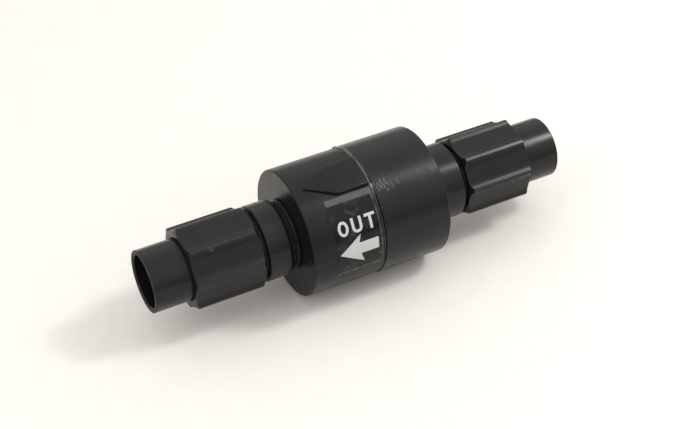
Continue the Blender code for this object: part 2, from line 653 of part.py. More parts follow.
def make_spring():
    """Compression spring from the spider's arms to the back of the disc."""
    start = SPIDER_ARM_FACE_X + GAP + SPRING_WIRE
    end = DISC_BACK_X - GAP - SPRING_WIRE
    open_length = end - start - 2 * SPRING_END_TURNS * SPRING_END_PITCH
    turns = SPRING_OPEN_TURNS + 2 * SPRING_END_TURNS
    count = turns * SPRING_POINTS_PER_TURN
    curve = bpy.data.curves.new("spring", "CURVE")
    curve.dimensions = "3D"
    curve.bevel_depth = SPRING_WIRE
    curve.bevel_resolution = 1
    curve.use_fill_caps = True
    path = curve.splines.new("POLY")
    path.points.add(count)
    for i in range(count + 1):
        turn = i / SPRING_POINTS_PER_TURN
        first = min(turn, SPRING_END_TURNS)
        middle = min(max(turn - SPRING_END_TURNS, 0.0), SPRING_OPEN_TURNS)
        last = max(turn - SPRING_END_TURNS - SPRING_OPEN_TURNS, 0.0)
        x = start + (first + last) * SPRING_END_PITCH + middle * open_length / SPRING_OPEN_TURNS
        point = Vector((x, 0.0, 0.0)) + radial(math.tau * turn) * SPRING_RADIUS
        path.points[i].co = (*point, 1.0)
    spring = bpy.data.objects.new("spring", curve)
    spring.data.materials.append(make_material(STEEL))
    bpy.context.scene.collection.objects.link(spring)


# ---- label ------------------------------------------------------------------------------
def make_flow_label():
    """Thin film wrapped on the outlet casing under the pad."""
    inner = OUTLET_BODY_RADIUS + GAP
    outer = inner + LABEL_THICKNESS
    span = LABEL_HIGH_ANGLE - LABEL_LOW_ANGLE
    angles = [LABEL_LOW_ANGLE + span * i / LABEL_STEPS for i in range(LABEL_STEPS + 1)]
    base = Vector((LABEL_START_X, 0.0, 0.0))
    section = [base + radial(angle) * inner for angle in angles]
    section += [base + radial(angle) * outer for angle in reversed(angles)]
    width = Vector((LABEL_END_X - LABEL_START_X, 0.0, 0.0))
    prism("flow_label", section, width, LABEL_FILM)


def main():
    clear_scene()
    make_inlet_casing()
    make_outlet_casing()
    make_seam_bead()
    make_union("inlet", 1.0)
    make_union("outlet", -1.0)
    make_seat()
    make_spacer_sleeve()
    make_guide()
    make_stem()
    make_stem_clip()
    make_poppet()
    make_spring()
    make_flow_label()


main()
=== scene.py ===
import math

import bmesh
import bpy
import numpy as np
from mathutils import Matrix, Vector


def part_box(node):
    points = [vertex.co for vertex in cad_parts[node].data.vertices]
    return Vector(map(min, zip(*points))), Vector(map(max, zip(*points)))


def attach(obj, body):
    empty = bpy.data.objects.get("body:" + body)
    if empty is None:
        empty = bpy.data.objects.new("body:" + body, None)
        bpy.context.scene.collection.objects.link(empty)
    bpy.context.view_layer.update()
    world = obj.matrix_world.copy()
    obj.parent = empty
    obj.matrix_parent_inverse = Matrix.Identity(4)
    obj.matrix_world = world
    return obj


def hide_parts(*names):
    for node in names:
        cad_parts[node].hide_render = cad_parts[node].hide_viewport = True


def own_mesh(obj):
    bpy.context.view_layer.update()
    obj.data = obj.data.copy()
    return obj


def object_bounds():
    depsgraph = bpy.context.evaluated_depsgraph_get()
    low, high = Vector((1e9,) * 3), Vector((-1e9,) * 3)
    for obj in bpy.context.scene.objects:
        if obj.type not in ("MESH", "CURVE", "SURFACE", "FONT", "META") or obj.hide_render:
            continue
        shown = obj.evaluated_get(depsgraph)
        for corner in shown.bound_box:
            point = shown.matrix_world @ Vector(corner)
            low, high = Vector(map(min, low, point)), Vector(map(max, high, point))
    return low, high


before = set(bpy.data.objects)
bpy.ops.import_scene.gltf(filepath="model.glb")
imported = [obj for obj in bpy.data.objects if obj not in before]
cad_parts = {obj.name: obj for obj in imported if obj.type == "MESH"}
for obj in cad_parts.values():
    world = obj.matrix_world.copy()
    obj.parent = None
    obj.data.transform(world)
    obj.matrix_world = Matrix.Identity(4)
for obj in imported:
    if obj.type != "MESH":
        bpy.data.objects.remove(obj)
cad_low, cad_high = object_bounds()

# Looks of the in-line spring check valve. The valve's axis is X, the inlet is at +X,
# and angles round the axis run from -Y (0) up towards +Z (90 degrees).

MM = 0.001

# ---- sizes read from the frame -----------------------------------------------------------
INLET_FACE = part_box("inlet_casing")[0].x
BODY_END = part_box("inlet_casing")[1].x
BODY_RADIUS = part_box("inlet_casing")[1].y
OUTLET_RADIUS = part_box("outlet_casing")[1].y
SPIGOT_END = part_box("outlet_casing")[1].x
BARREL_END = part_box("inlet_connector")[1].x
FLANGE_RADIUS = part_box("inlet_connector")[1].z
TAIL_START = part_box("inlet_tailpiece")[0].x
TAIL_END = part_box("inlet_tailpiece")[1].x
TAIL_FLANGE_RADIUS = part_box("inlet_tailpiece")[1].z
NUT_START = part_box("inlet_union_nut")[0].x
NUT_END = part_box("inlet_union_nut")[1].x
LABEL_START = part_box("flow_label")[0].x
LABEL_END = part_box("flow_label")[1].x

# ---- sizes that the frame's boxes don't show ---------------------------------------------
GAP = 0.3 * MM                      # between the solids of pieces that touch
OUTLET_FACE = INLET_FACE - GAP
CASING_RIM = 1.3 * MM
INLET_CHAMFER = 0.7 * MM            # the V groove of the seam is cut mostly in the outlet half
OUTLET_CHAMFER = 1.4 * MM
PARTING_ANGLES = (math.radians(7.0), math.radians(187.0))
PARTING_HALF_WIDTH = 0.3 * MM
PARTING_HEIGHT = 0.20 * MM
END_WALL = 6.5 * MM
HUB_BORE = 26.3 * MM
CHAMBER_RADIUS = 42.8 * MM
CARTRIDGE_BORE = 45.8 * MM
SEAT_SHOULDER_X = 26.3 * MM
SPIDER_SHOULDER_X = -34.3 * MM
SOCKET_RADIUS = 48.3 * MM
SPIGOT_RADIUS = 48.0 * MM
FLOW_BORE = 20.45 * MM
HUB_RADIUS = 26.0 * MM
HUB_FLANGE_WIDTH = 4.0 * MM
LIP_START = BODY_END + GAP
LIP_RADIUS = 27.8 * MM
LIP_END = 59.8 * MM
NECK_RADIUS = 26.6 * MM
COLLAR_RADIUS = 29.85 * MM
COLLAR_START = 64.5 * MM
COLLAR_END = 83.6 * MM
COLLAR_SHOULDER = 2.6 * MM
COLLAR_EDGE = 1.0 * MM
UNDERCUT_RADIUS = 25.0 * MM
UNDERCUT_END = COLLAR_END + 3.0 * MM
BARREL_START = COLLAR_END + 4.4 * MM
BARREL_RADIUS = 26.4 * MM
RING_GROOVE_INNER = 22.1 * MM
RING_GROOVE_OUTER = 24.5 * MM
RING_GROOVE_DEPTH = 2.4 * MM
TAIL_RADIUS = 24.15 * MM
TAIL_FLANGE_WIDTH = 5.2 * MM
MOUTH_CHAMFER_RISE = 0.9 * MM
MOUTH_CHAMFER_RUN = 1.1 * MM
SAWN_LENGTH = 0.8 * MM
THREAD_PITCH = 4.0 * MM
THREAD_DEPTH = 1.0 * MM
THREAD_START = 112.0 * MM
THREAD_END = 132.0 * MM
NUT_SIDES = 8
NUT_FLAT = 29.3 * MM
NUT_RIB_TOP = 32.9 * MM
NUT_RIB_HALF_TOP = 1.4 * MM
NUT_RIB_HALF_FOOT = 6.2 * MM
NUT_RIB_HOLLOW = 2.7                # power of the curve that runs the ribs' sides into the flats
NUT_RIB_ANGLE = math.radians(14.0)
NUT_START_RADIUS = 28.7 * MM        # both ends of the outside are cut back to a cone
NUT_START_CONE = 2.8 * MM
NUT_END_RADIUS = 29.0 * MM
NUT_END_CONE = 1.3 * MM
NUT_SKIRT_BORE = 27.2 * MM
NUT_SKIRT_END = 109.0 * MM
NUT_SHOULDER_X = 139.0 * MM
NUT_SHOULDER_BORE = 24.6 * MM
PAD_ANGLE = math.radians(75.0)
PAD_FACE_AT_TIP = 51.7 * MM
PAD_FACE_AT_END = 52.6 * MM
PAD_EDGE = 1.0 * MM
PAD_ROOT = 48.6 * MM
PAD_HALF_WIDTH = 13.2 * MM
PAD_TIP_X = -49.2 * MM
PAD_SHOULDER_X = -26.0 * MM
PAD_END_X = -0.6 * MM
LABEL_LOW = math.radians(-13.8)
LABEL_HIGH = math.radians(58.6)
FILM_THICKNESS = 0.12 * MM
FILM_GAP = 0.02 * MM
FILM_CURL = 0.06 * MM               # lift of the film's edges, and how far in it reaches
FILM_CURL_REACH = 1.2 * MM
INK_FOOT, INK_TOP = 0.01 * MM, 0.05 * MM
STRIP_WIDTH = 5.2 * MM              # strip of painted highlight along the film's top
# widths of the painted highlight along the film's right and low edges
RIGHT_BORDER = 1.3 * MM
LOW_BORDER = 2.0 * MM
LETTER_HEIGHT = 9.6 * MM
LETTER_WIDTH = 6.4 * MM
LETTER_GAP = 4.9 * MM
LETTER_PEN = 2.2 * MM
WORD_LEFT = -34.2 * MM
WORD_FOOT = 22.7 * MM
NUB_X = -125.5 * MM
NUB_ANGLE = math.radians(55.5)
NUB_RADIUS = 2.1 * MM
NUB_HEIGHT = 1.25 * MM
NUB_ROOT = 0.5 * MM
WIRE_RADIUS = 0.8 * MM
SPRING_END_PITCH = 1.9 * MM
SPRING_OPEN_TURNS = 5

FLOOR_HALF = 6.0
FLOOR_GAP = 0.02 * MM
LENS = 78.26
SENSOR_WIDTH = 36.0
CAMERA_PLACE = (-0.4178, -0.7764, 0.7415)
CAMERA_VIEW = (0.3573, 0.6749, -0.6456)
SKY_COLOUR = (1.0, 0.99, 0.97, 1.0)
SKY_RISE = 0.55                     # height of the view's direction where the sky is brightest
SKY_DIM, SKY_BRIGHT = 0.32, 1.15
LIGHTS = (                          # name, direction, distance, size and power
    ("key_softbox", (0.62, -0.26, 0.80), 1.9, (0.50, 0.75), 8.0),
    ("key_lamp", (0.66, -0.22, 0.80), 1.85, (0.28, 0.26), 8.0),
    ("left_softbox", (-0.85, -0.15, 0.60), 2.1, (1.2, 0.8), 6.0),
)

ROUND_STEPS = 192
TURNED_STEPS = 160
SHARP_ANGLE = math.radians(35.0)
PAD_SHARP_ANGLE = math.radians(28.0)


# ---- meshes ------------------------------------------------------------------------------
def radial(angle):
    """Unit vector at an angle round the axis."""
    return Vector((0.0, -math.cos(angle), math.sin(angle)))


def rounded(corners, steps=5):
    """Points of a closed (x, r) outline; a corner's third number is its rounding radius."""
    points = []
    count = len(corners)
    for i, corner in enumerate(corners):
        here = np.array(corner[:2])
        if len(corner) < 3:
            points.append(here)
            continue
        before = np.array(corners[i - 1][:2]) - here
        after = np.array(corners[(i + 1) % count][:2]) - here
        before /= np.linalg.norm(before)
        after /= np.linalg.norm(after)
        half = math.acos(float(np.clip(before @ after, -1.0, 1.0))) / 2
        middle = (before + after) / np.linalg.norm(before + after)
        centre = here + middle * corner[2] / math.sin(half)
        first = here + before * corner[2] / math.tan(half) - centre
        last = here + after * corner[2] / math.tan(half) - centre
        for k in range(steps + 1):
            spoke = first + (last - first) * k / steps
            points.append(centre + spoke / np.linalg.norm(spoke) * corner[2])
    return np.array(points)


def refined(points, longest=2.5 * MM, edge=0.15 * MM):
    """The closed outline with extra points near its corners and along its long sides."""
    fine = []
    for here, there in zip(points, np.roll(points, -1, axis=0)):
        fine.append(here)
        length = float(np.linalg.norm(there - here))
        if length < 4 * edge:
            continue
        stops = [edge]
        inner = max(1, int(math.ceil((length - 2 * edge) / longest)))
        stops += [edge + (length - 2 * edge) * k / inner for k in range(1, inner)]
        stops.append(length - edge)
        fine += [here + (there - here) * stop / length for stop in stops]
    return np.array(fine)


def linked(name, data):
    """A new object in the scene."""
    item = bpy.data.objects.new(name, data)
    bpy.context.scene.collection.objects.link(item)
    return item


def closed_mesh(name, bm):
    """The mesh of a bmesh, with its faces turned outwards."""
    bmesh.ops.recalc_face_normals(bm, faces=bm.faces)
    mesh = bpy.data.meshes.new(name)
    bm.to_mesh(mesh)
    bm.free()
    return mesh


def smoothed(mesh, material, angle=SHARP_ANGLE):
    """Smooth shading with sharp edges past an angle, and one material."""
    mesh.shade_smooth()
    mesh.set_sharp_from_angle(angle=angle)
    mesh.materials.clear()
    mesh.materials.append(material)


def mesh_object(name, verts, faces, material):
    """A smooth-shaded object from points and faces."""
    drawn = bpy.data.meshes.new(name + "_points")
    drawn.from_pydata([tuple(map(float, v)) for v in verts], [], faces)
    bm = bmesh.new()
    bm.from_mesh(drawn)
    bpy.data.meshes.remove(drawn)
    mesh = closed_mesh(name, bm)
    smoothed(mesh, material)
    return linked(name, mesh)


def store(piece, key, values):
    """Store a number for each point of a mesh, for its material."""
    attribute = piece.data.attributes.new(key, "FLOAT", "POINT")
    attribute.data.foreach_set("value", np.asarray(values, np.float32))


def ring_faces(rows, section, closed=True):
    """Faces between neighbouring rings of points; closed joins the last ring to the first."""
    faces = []
    for i in range(rows if closed else rows - 1):
        here, below = i * section, ((i + 1) % rows) * section
        for j in range(section):
            k = (j + 1) % section
            faces.append((here + j, here + k, below + k, below + j))
    return faces


def capped_faces(rows, section):
    """Faces between rings of points, with a face over each end."""
    last = (rows - 1) * section
    return ring_faces(rows, section, closed=False) + [
        tuple(range(section)), tuple(last + k for k in range(section))]


def even_angles(count):
    """Angles of even steps round a full turn."""
    return np.arange(count) * math.tau / count


def revolve(name, outline, angles, shape, material):
    """Closed (x, r) outline turned about X at the angles; shape(x, r, angle) moves the points."""
    rows, steps = len(outline), len(angles)
    x = np.repeat(outline[:, 0:1], steps, axis=1)
    r = np.repeat(outline[:, 1:2], steps, axis=1)
    a = np.repeat(angles[None, :], rows, axis=0)
    x, r = shape(x, r, a)
    verts = np.stack([x, -r * np.cos(a), r * np.sin(a)], axis=-1).reshape(-1, 3)
    return mesh_object(name, verts, ring_faces(rows, steps), material)


def mirrored(corners):
    """The outline's corners on the outlet side."""
    return [(-corner[0], *corner[1:]) for corner in corners]


def smooth_waves(x, a, size, seed):
    """Slow random waves over (x, angle), within +-1, the same at angle 0 and a full turn."""
    rng = np.random.default_rng(seed)
    total = np.zeros_like(x)
    for _ in range(7):
        turns = rng.integers(1, 7)
        total += np.sin(turns * a + rng.uniform(0, math.tau)) \
            * np.sin(x * math.tau / (size * rng.uniform(0.7, 2.2)) + rng.uniform(0, math.tau))
    return total / 7


# ---- materials ---------------------------------------------------------------------------
class Graph:
    """A short way to write a material's nodes."""

    def __init__(self, name):
        self.material = bpy.data.materials.new(name)
        self.material.use_nodes = True
        self.tree = self.material.node_tree
        self.place = self.node("ShaderNodeTexCoord", {}).outputs["Object"]

    def put(self, node, inputs):
        """Link a node's inputs, or set their own values."""
        for key, value in inputs.items():
            if isinstance(value, bpy.types.NodeSocket):
                self.tree.links.new(value, node.inputs[key])
            else:
                node.inputs[key].default_value = value

    def node(self, kind, inputs, **settings):
        made = self.tree.nodes.new(kind)
        for key, value in settings.items():
            setattr(made, key, value)
        self.put(made, inputs)
        return made

    def noise(self, scale, detail=3.0, rough=0.55, twist=0.0, where=None):
        return self.node("ShaderNodeTexNoise", {
            "Vector": where or self.place, "Scale": scale, "Detail": detail, "Roughness": rough,
            "Distortion": twist}).outputs["Fac"]

    def cells(self, scale):
        made = self.node("ShaderNodeTexVoronoi", {"Vector": self.place, "Scale": scale})
        return made.outputs["Distance"]

    def stretched(self, scale, turn=(0.0, 0.0, 0.0)):
        return self.node("ShaderNodeMapping", {
            "Vector": self.place, "Scale": scale, "Rotation": turn}).outputs["Vector"]

    def span(self, value, low, high, to_low=0.0, to_high=1.0, smooth=False):
        """Map low..high to to_low..to_high, clamped."""
        return self.node("ShaderNodeMapRange", {
            "Value": value, "From Min": low, "From Max": high, "To Min": to_low,
            "To Max": to_high}, interpolation_type="SMOOTHSTEP" if smooth else "LINEAR",
        ).outputs["Result"]

    def math(self, operation, a, b=0.0):
        return self.node("ShaderNodeMath", {0: a, 1: b}, operation=operation).outputs[0]

    def times(self, a, b):
        return self.math("MULTIPLY", a, b)

    def coordinate(self, axis):
        """The place along X, Y or Z."""
        return self.node("ShaderNodeSeparateXYZ", {"Vector": self.place}).outputs[axis]

    def mix(self, factor, a, b):
        """Mix two colours."""
        a, b = ((*tone, 1.0) if isinstance(tone, tuple) else tone for tone in (a, b))
        made = self.node("ShaderNodeMix", {"Factor": factor, 6: a, 7: b}, data_type="RGBA")
        return made.outputs[2]

    def near(self, point, radius):
        """1 at a point of the object, falling to 0 at a distance."""
        away = self.node("ShaderNodeVectorMath", {0: self.place, 1: point}, operation="DISTANCE")
        return self.span(away.outputs["Value"], radius, 0.0, smooth=True)

    def attribute(self, name):
        return self.node("ShaderNodeAttribute", {}, attribute_name=name).outputs["Fac"]

    def bump(self, height, distance, normal=None):
        inputs = {"Height": height, "Distance": distance, "Strength": 1.0}
        if normal is not None:
            inputs["Normal"] = normal
        return self.node("ShaderNodeBump", inputs).outputs["Normal"]

    def finish(self, colour, rough, normal, metallic=0.0, ior=1.5):
        self.put(self.tree.nodes["Principled BSDF"], {
            "Base Color": colour, "Roughness": rough, "Normal": normal, "Metallic": metallic,
            "IOR": ior})
        return self.material


def moulded_plastic(name, dark, light, rough, ior, smears=(), sawn_from=None):
    """Satin-gloss black plastic: cloudy tone, fine grain, hairline scratches and dust specks.
    Smears are (point, radius) of places with wiped, set cement. The plastic is sawn, and so
    matt, beyond the distance sawn_from along the axis."""
    g = Graph(name)
    cloud = g.noise(38.0, 4.0, 0.6)
    hair = g.noise(30.0, 2.0, 0.7, where=g.stretched((3.0, 60.0, 60.0), (0.3, 0.2, 0.1)))
    cross = g.noise(26.0, 2.0, 0.7, 0.4, where=g.stretched((70.0, 4.0, 4.0), (0.1, 0.5, 0.2)))
    lines = g.math("MAXIMUM", g.span(hair, 0.70, 0.78), g.span(cross, 0.71, 0.80))
    lines = g.times(lines, g.span(g.noise(24.0, 2.0), 0.42, 0.62, 0.0, 0.5))
    specks = g.span(g.cells(330.0), 0.085, 0.035, 0.0, 0.5)
    specks = g.times(specks, g.span(g.noise(45.0, 2.0), 0.56, 0.66))
    colour = g.mix(g.span(cloud, 0.3, 0.7), dark, light)
    colour = g.mix(g.times(lines, 0.25), colour, (0.10, 0.10, 0.097))
    colour = g.mix(specks, colour, (0.42, 0.41, 0.38))
    roughness = g.span(g.noise(70.0, 5.0, 0.65), 0.25, 0.75, rough - 0.05, rough + 0.07)
    roughness = g.math("ADD", roughness, g.times(lines, 0.25))
    roughness = g.math("ADD", roughness, g.times(specks, 0.4))
    normal = g.bump(g.noise(1500.0, 2.0), 0.010 * MM)
    normal = g.bump(g.noise(160.0, 3.0), 0.030 * MM, normal)
    normal = g.bump(lines, -0.02 * MM, normal)
    if sawn_from is not None:
        along = g.math("ABSOLUTE", g.coordinate("X"))
        sawn = g.span(along, sawn_from, sawn_from + 0.3 * MM)
        marks = g.noise(60.0, 3.0, 0.6, where=g.stretched((1.0, 3.0, 22.0), (0.4, 0.0, 0.0)))
        rubbed = g.times(sawn, g.span(marks, 0.3, 0.7, 0.22, 0.42))
        roughness = g.math("ADD", roughness, rubbed)
        normal = g.bump(g.times(sawn, marks), 0.05 * MM, normal)
    for point, radius in smears:
        mask = g.near(point, radius)
        strokes = g.noise(55.0, 2.0, 0.5, 1.2, where=g.stretched((5.0, 1.6, 1.6), (0.0, 0.3, 0.4)))
        wet = g.times(mask, g.span(strokes, 0.44, 0.62, smooth=True))
        colour = g.mix(g.times(wet, 0.10), colour, (0.08, 0.08, 0.077))
        normal = g.bump(wet, 0.05 * MM, normal)
    return g.finish(colour, roughness, normal, ior=ior)


def nut_plastic():
    """The nuts' satin black, paler and smoother on the rib crowns: rubbed wear, and a painted
    highlight along the ribs.
    """
    g = Graph("nut_plastic")
    rib = g.attribute("rib")
    # rib crowns painted paler: rubbed wear and painted highlight along the ribs
    rubbed_and_highlight = g.times(rib, g.span(g.noise(140.0, 4.0, 0.7), 0.35, 0.6, 0.35, 1.0))
    cloud = g.span(g.noise(50.0, 4.0, 0.6), 0.3, 0.7)
    colour = g.mix(cloud, (0.0046, 0.0048, 0.0048), (0.0078, 0.0080, 0.0077))
    colour = g.mix(g.times(rubbed_and_highlight, 0.35), colour, (0.045, 0.045, 0.043))
    hair = g.noise(30.0, 2.0, 0.7, where=g.stretched((4.0, 70.0, 70.0), (0.2, 0.1, 0.0)))
    lines = g.times(g.span(hair, 0.72, 0.82), g.span(g.noise(30.0), 0.45, 0.65))
    roughness = g.span(g.noise(90.0, 5.0, 0.65), 0.25, 0.75, 0.27, 0.38)
    roughness = g.math("SUBTRACT", roughness, g.times(rubbed_and_highlight, 0.07))
    normal = g.bump(g.noise(1300.0, 2.0), 0.016 * MM)
    normal = g.bump(g.noise(190.0, 3.0), 0.04 * MM, normal)
    normal = g.bump(lines, -0.02 * MM, normal)
    return g.finish(colour, roughness, normal, ior=1.34)


def cement(name, dark, light, painted_highlight_from=None):
    """Glossy, lumpy set solvent cement, painted paler above the height painted_highlight_from: a
    painted highlight on its top.
    """
    g = Graph(name)
    lumps = g.noise(420.0, 4.0, 0.6, 0.8)
    colour = g.mix(g.span(lumps, 0.35, 0.7), dark, light)
    if painted_highlight_from is not None:
        # paler towards the top: painted highlight
        upper = g.span(g.coordinate("Z"), painted_highlight_from, painted_highlight_from + 5.0 * MM)
        top_highlight = g.times(upper, g.span(g.noise(130.0, 4.0, 0.7), 0.38, 0.62, 0.0, 0.65))
        colour = g.mix(top_highlight, colour, (0.095, 0.095, 0.091))
    roughness = g.span(g.noise(250.0), 0.3, 0.7, 0.10, 0.24)
    return g.finish(colour, roughness, g.bump(lumps, 0.15 * MM))


def clear_film():
    """Clear glossy film over black plastic: trapped haze, a painted highlight as a pale, rougher
    strip along the top, and painted highlight on the right and low edges.
    """
    g = Graph("label_film")
    haze = g.noise(120.0, 5.0, 0.7, 0.8)
    blots = g.times(g.span(haze, 0.52, 0.68), g.span(g.noise(60.0, 2.0), 0.40, 0.56))
    # A strip along the top is painted paler and made rougher: painted highlight.
    strip = g.attribute("strip")
    top_strip_highlight = g.times(strip, g.span(g.noise(260.0, 5.0, 0.75), 0.25, 0.7, 0.45, 1.0))
    # The right and low edges are painted paler: painted highlight.
    edge_highlight = g.times(g.attribute("edge_highlight"), g.span(g.noise(200.0, 4.0), 0.35, 0.65))
    colour = g.mix(g.times(blots, 0.45), (0.004, 0.004, 0.004), (0.075, 0.073, 0.066))
    colour = g.mix(g.times(top_strip_highlight, 0.75), colour, (0.105, 0.105, 0.10))
    colour = g.mix(g.times(edge_highlight, 0.8), colour, (0.10, 0.10, 0.096))
    roughness = g.math("ADD", g.span(haze, 0.3, 0.7, 0.14, 0.26), g.times(top_strip_highlight, 0.3))
    normal = g.bump(g.noise(75.0, 3.0, 0.6), 0.10 * MM)
    normal = g.bump(blots, 0.04 * MM, normal)
    return g.finish(colour, roughness, normal, ior=1.33)


def print_ink():
    """White screen-printed ink, a little mottled."""
    g = Graph("print_ink")
    mottle = g.noise(900.0, 4.0, 0.7)
    colour = g.mix(g.span(mottle, 0.3, 0.7), (0.44, 0.445, 0.45), (0.52, 0.52, 0.52))
    roughness = g.span(g.noise(400.0), 0.3, 0.7, 0.32, 0.5)
    return g.finish(colour, roughness, g.bump(mottle, 0.01 * MM))


def rubber():
    """Matt black rubber with a bloom of talc."""
    g = Graph("rubber")
    bloom = g.span(g.noise(160.0, 5.0, 0.7), 0.35, 0.75)
    colour = g.mix(bloom, (0.012, 0.012, 0.012), (0.040, 0.040, 0.038))
    roughness = g.span(g.noise(500.0), 0.3, 0.7, 0.55, 0.8)
    return g.finish(colour, roughness, g.bump(g.noise(1800.0), 0.02 * MM))


def pale_plastic(name, low, high, rough):
    """Unpainted moulded plastic, slightly uneven in tone."""
    g = Graph(name)
    colour = g.mix(g.span(g.noise(60.0, 4.0, 0.6), 0.3, 0.7), low, high)
    roughness = g.span(g.noise(220.0, 4.0), 0.3, 0.7, rough - 0.06, rough + 0.08)
    normal = g.bump(g.noise(1400.0, 2.0), 0.012 * MM)
    return g.finish(colour, roughness, g.bump(g.noise(120.0), 0.03 * MM, normal))


def turned_steel():
    """Stainless steel with fine turning marks round the axis."""
    g = Graph("stainless_steel")
    marks = g.noise(40.0, 4.0, 0.7, where=g.stretched((120.0, 3.0, 3.0)))
    colour = g.mix(g.span(marks, 0.3, 0.7), (0.50, 0.50, 0.49), (0.68, 0.68, 0.66))
    roughness = g.span(g.noise(300.0, 4.0), 0.3, 0.7, 0.18, 0.34)
    return g.finish(colour, roughness, g.bump(marks, 0.012 * MM), metallic=1.0)


def floor_paper():
    """Pale matt studio paper."""
    g = Graph("floor_paper")
    fibre = g.noise(60.0, 5.0, 0.7)
    colour = g.mix(g.span(fibre, 0.3, 0.7), (0.73, 0.70, 0.66), (0.76, 0.73, 0.69))
    roughness = g.span(g.noise(90.0), 0.3, 0.7, 0.85, 0.95)
    return g.finish(colour, roughness, g.bump(g.noise(700.0), 0.02 * MM))


# ---- casings -----------------------------------------------------------------------------
def casing_angles():
    """Even steps round a casing, with close ones at the mould's parting lines."""
    angles = list(even_angles(ROUND_STEPS))
    half = PARTING_HALF_WIDTH / BODY_RADIUS
    for line in PARTING_ANGLES:
        angles = [a for a in angles if abs(a - line) > 3 * half]
        angles += [line + half * k for k in (-2.0, -1.0, -0.4, 0.4, 1.0, 2.0)]
    return np.array(sorted(angles))


def casing_surface(seed):
    """Slight unevenness of a moulded cup's outside, and its fine raised parting lines."""
    def shape(x, r, a):
        outside = np.clip((r - SPIGOT_RADIUS - 1.0 * MM) / (1.0 * MM), 0.0, 1.0)
        sink = 0.030 * MM * smooth_waves(x, a, 45.0 * MM, seed) - 0.030 * MM
        for line in PARTING_ANGLES:
            off = np.abs(a - line) * BODY_RADIUS
            sink = sink + PARTING_HEIGHT * np.clip(1.3 - off / PARTING_HALF_WIDTH, 0.0, 1.0)
        return x, r + sink * outside
    return shape


def inlet_casing(plastic):
    socket_end = SPIGOT_END + GAP
    corners = [
        (INLET_FACE, BODY_RADIUS - 2 * INLET_CHAMFER, 0.2 * MM),
        (INLET_FACE + INLET_CHAMFER, BODY_RADIUS, 0.5 * MM),
        (BODY_END, BODY_RADIUS, CASING_RIM),
        (BODY_END, HUB_BORE, 0.4 * MM),
        (BODY_END - END_WALL, HUB_BORE),
        (BODY_END - END_WALL, CHAMBER_RADIUS, 2.0 * MM),
        (SEAT_SHOULDER_X, CHAMBER_RADIUS, 0.4 * MM),
        (SEAT_SHOULDER_X, CARTRIDGE_BORE),
        (socket_end, CARTRIDGE_BORE),
        (socket_end, SOCKET_RADIUS),
        (INLET_FACE, SOCKET_RADIUS),
    ]
    outline = refined(rounded(corners, 6))
    return revolve("inlet_casing_shell", outline, casing_angles(), casing_surface(3), plastic)


def pad_block():
    """The pad's five-sided block, higher at the seam, its face's edges rounded."""
    out = radial(PAD_ANGLE)
    across = radial(PAD_ANGLE + math.pi / 2)
    rise = (PAD_FACE_AT_END - PAD_FACE_AT_TIP) / (PAD_END_X - PAD_TIP_X)
    plan = [
        (PAD_TIP_X, 0.0),
        (PAD_SHOULDER_X, PAD_HALF_WIDTH),
        (PAD_END_X, PAD_HALF_WIDTH),
        (PAD_END_X, -PAD_HALF_WIDTH),
        (PAD_SHOULDER_X, -PAD_HALF_WIDTH),
    ]
    bm = bmesh.new()
    base = bm.faces.new([bm.verts.new(Vector((x, 0, 0)) + across * w + out * PAD_ROOT)
                         for x, w in plan])
    grown = bmesh.ops.extrude_face_region(bm, geom=[base])["geom"]
    lifted = [part for part in grown if isinstance(part, bmesh.types.BMVert)]
    for vert in lifted:
        vert.co += out * (PAD_FACE_AT_TIP + rise * (vert.co.x - PAD_TIP_X) - PAD_ROOT)
    top = [part for part in grown if isinstance(part, bmesh.types.BMFace)][0]
    edges = list(top.edges)
    for corner in top.verts:
        edges += [edge for edge in corner.link_edges if edge not in top.edges]
    bmesh.ops.bevel(bm, geom=edges, offset=PAD_EDGE, segments=4, profile=0.5, affect="EDGES")
    return linked("pad_block", closed_mesh("pad_block", bm))


def outlet_casing(plastic):
    corners = [
        (SPIGOT_END, CARTRIDGE_BORE, 0.3 * MM),
        (SPIGOT_END, SPIGOT_RADIUS, 0.6 * MM),
        (OUTLET_FACE, SPIGOT_RADIUS),
        (OUTLET_FACE, OUTLET_RADIUS - OUTLET_CHAMFER, 0.3 * MM),
        (OUTLET_FACE - OUTLET_CHAMFER, OUTLET_RADIUS, 0.5 * MM),
        (-BODY_END, OUTLET_RADIUS, CASING_RIM),
        (-BODY_END, HUB_BORE, 0.4 * MM),
        (END_WALL - BODY_END, HUB_BORE),
        (END_WALL - BODY_END, CHAMBER_RADIUS, 2.0 * MM),
        (SPIDER_SHOULDER_X, CHAMBER_RADIUS, 0.4 * MM),
        (SPIDER_SHOULDER_X, CARTRIDGE_BORE),
    ]
    outline = refined(rounded(corners, 6))
    piece = revolve("outlet_casing_shell", outline, casing_angles(), casing_surface(8), plastic)
    block = pad_block()
    union = piece.modifiers.new("pad", "BOOLEAN")
    union.operation = "UNION"
    union.object = block
    graph = bpy.context.evaluated_depsgraph_get()
    joined = bpy.data.meshes.new_from_object(piece.evaluated_get(graph))
    piece.modifiers.clear()
    piece.data = joined
    bpy.data.objects.remove(block, do_unlink=True)
    smoothed(joined, plastic, PAD_SHARP_ANGLE)
    return piece


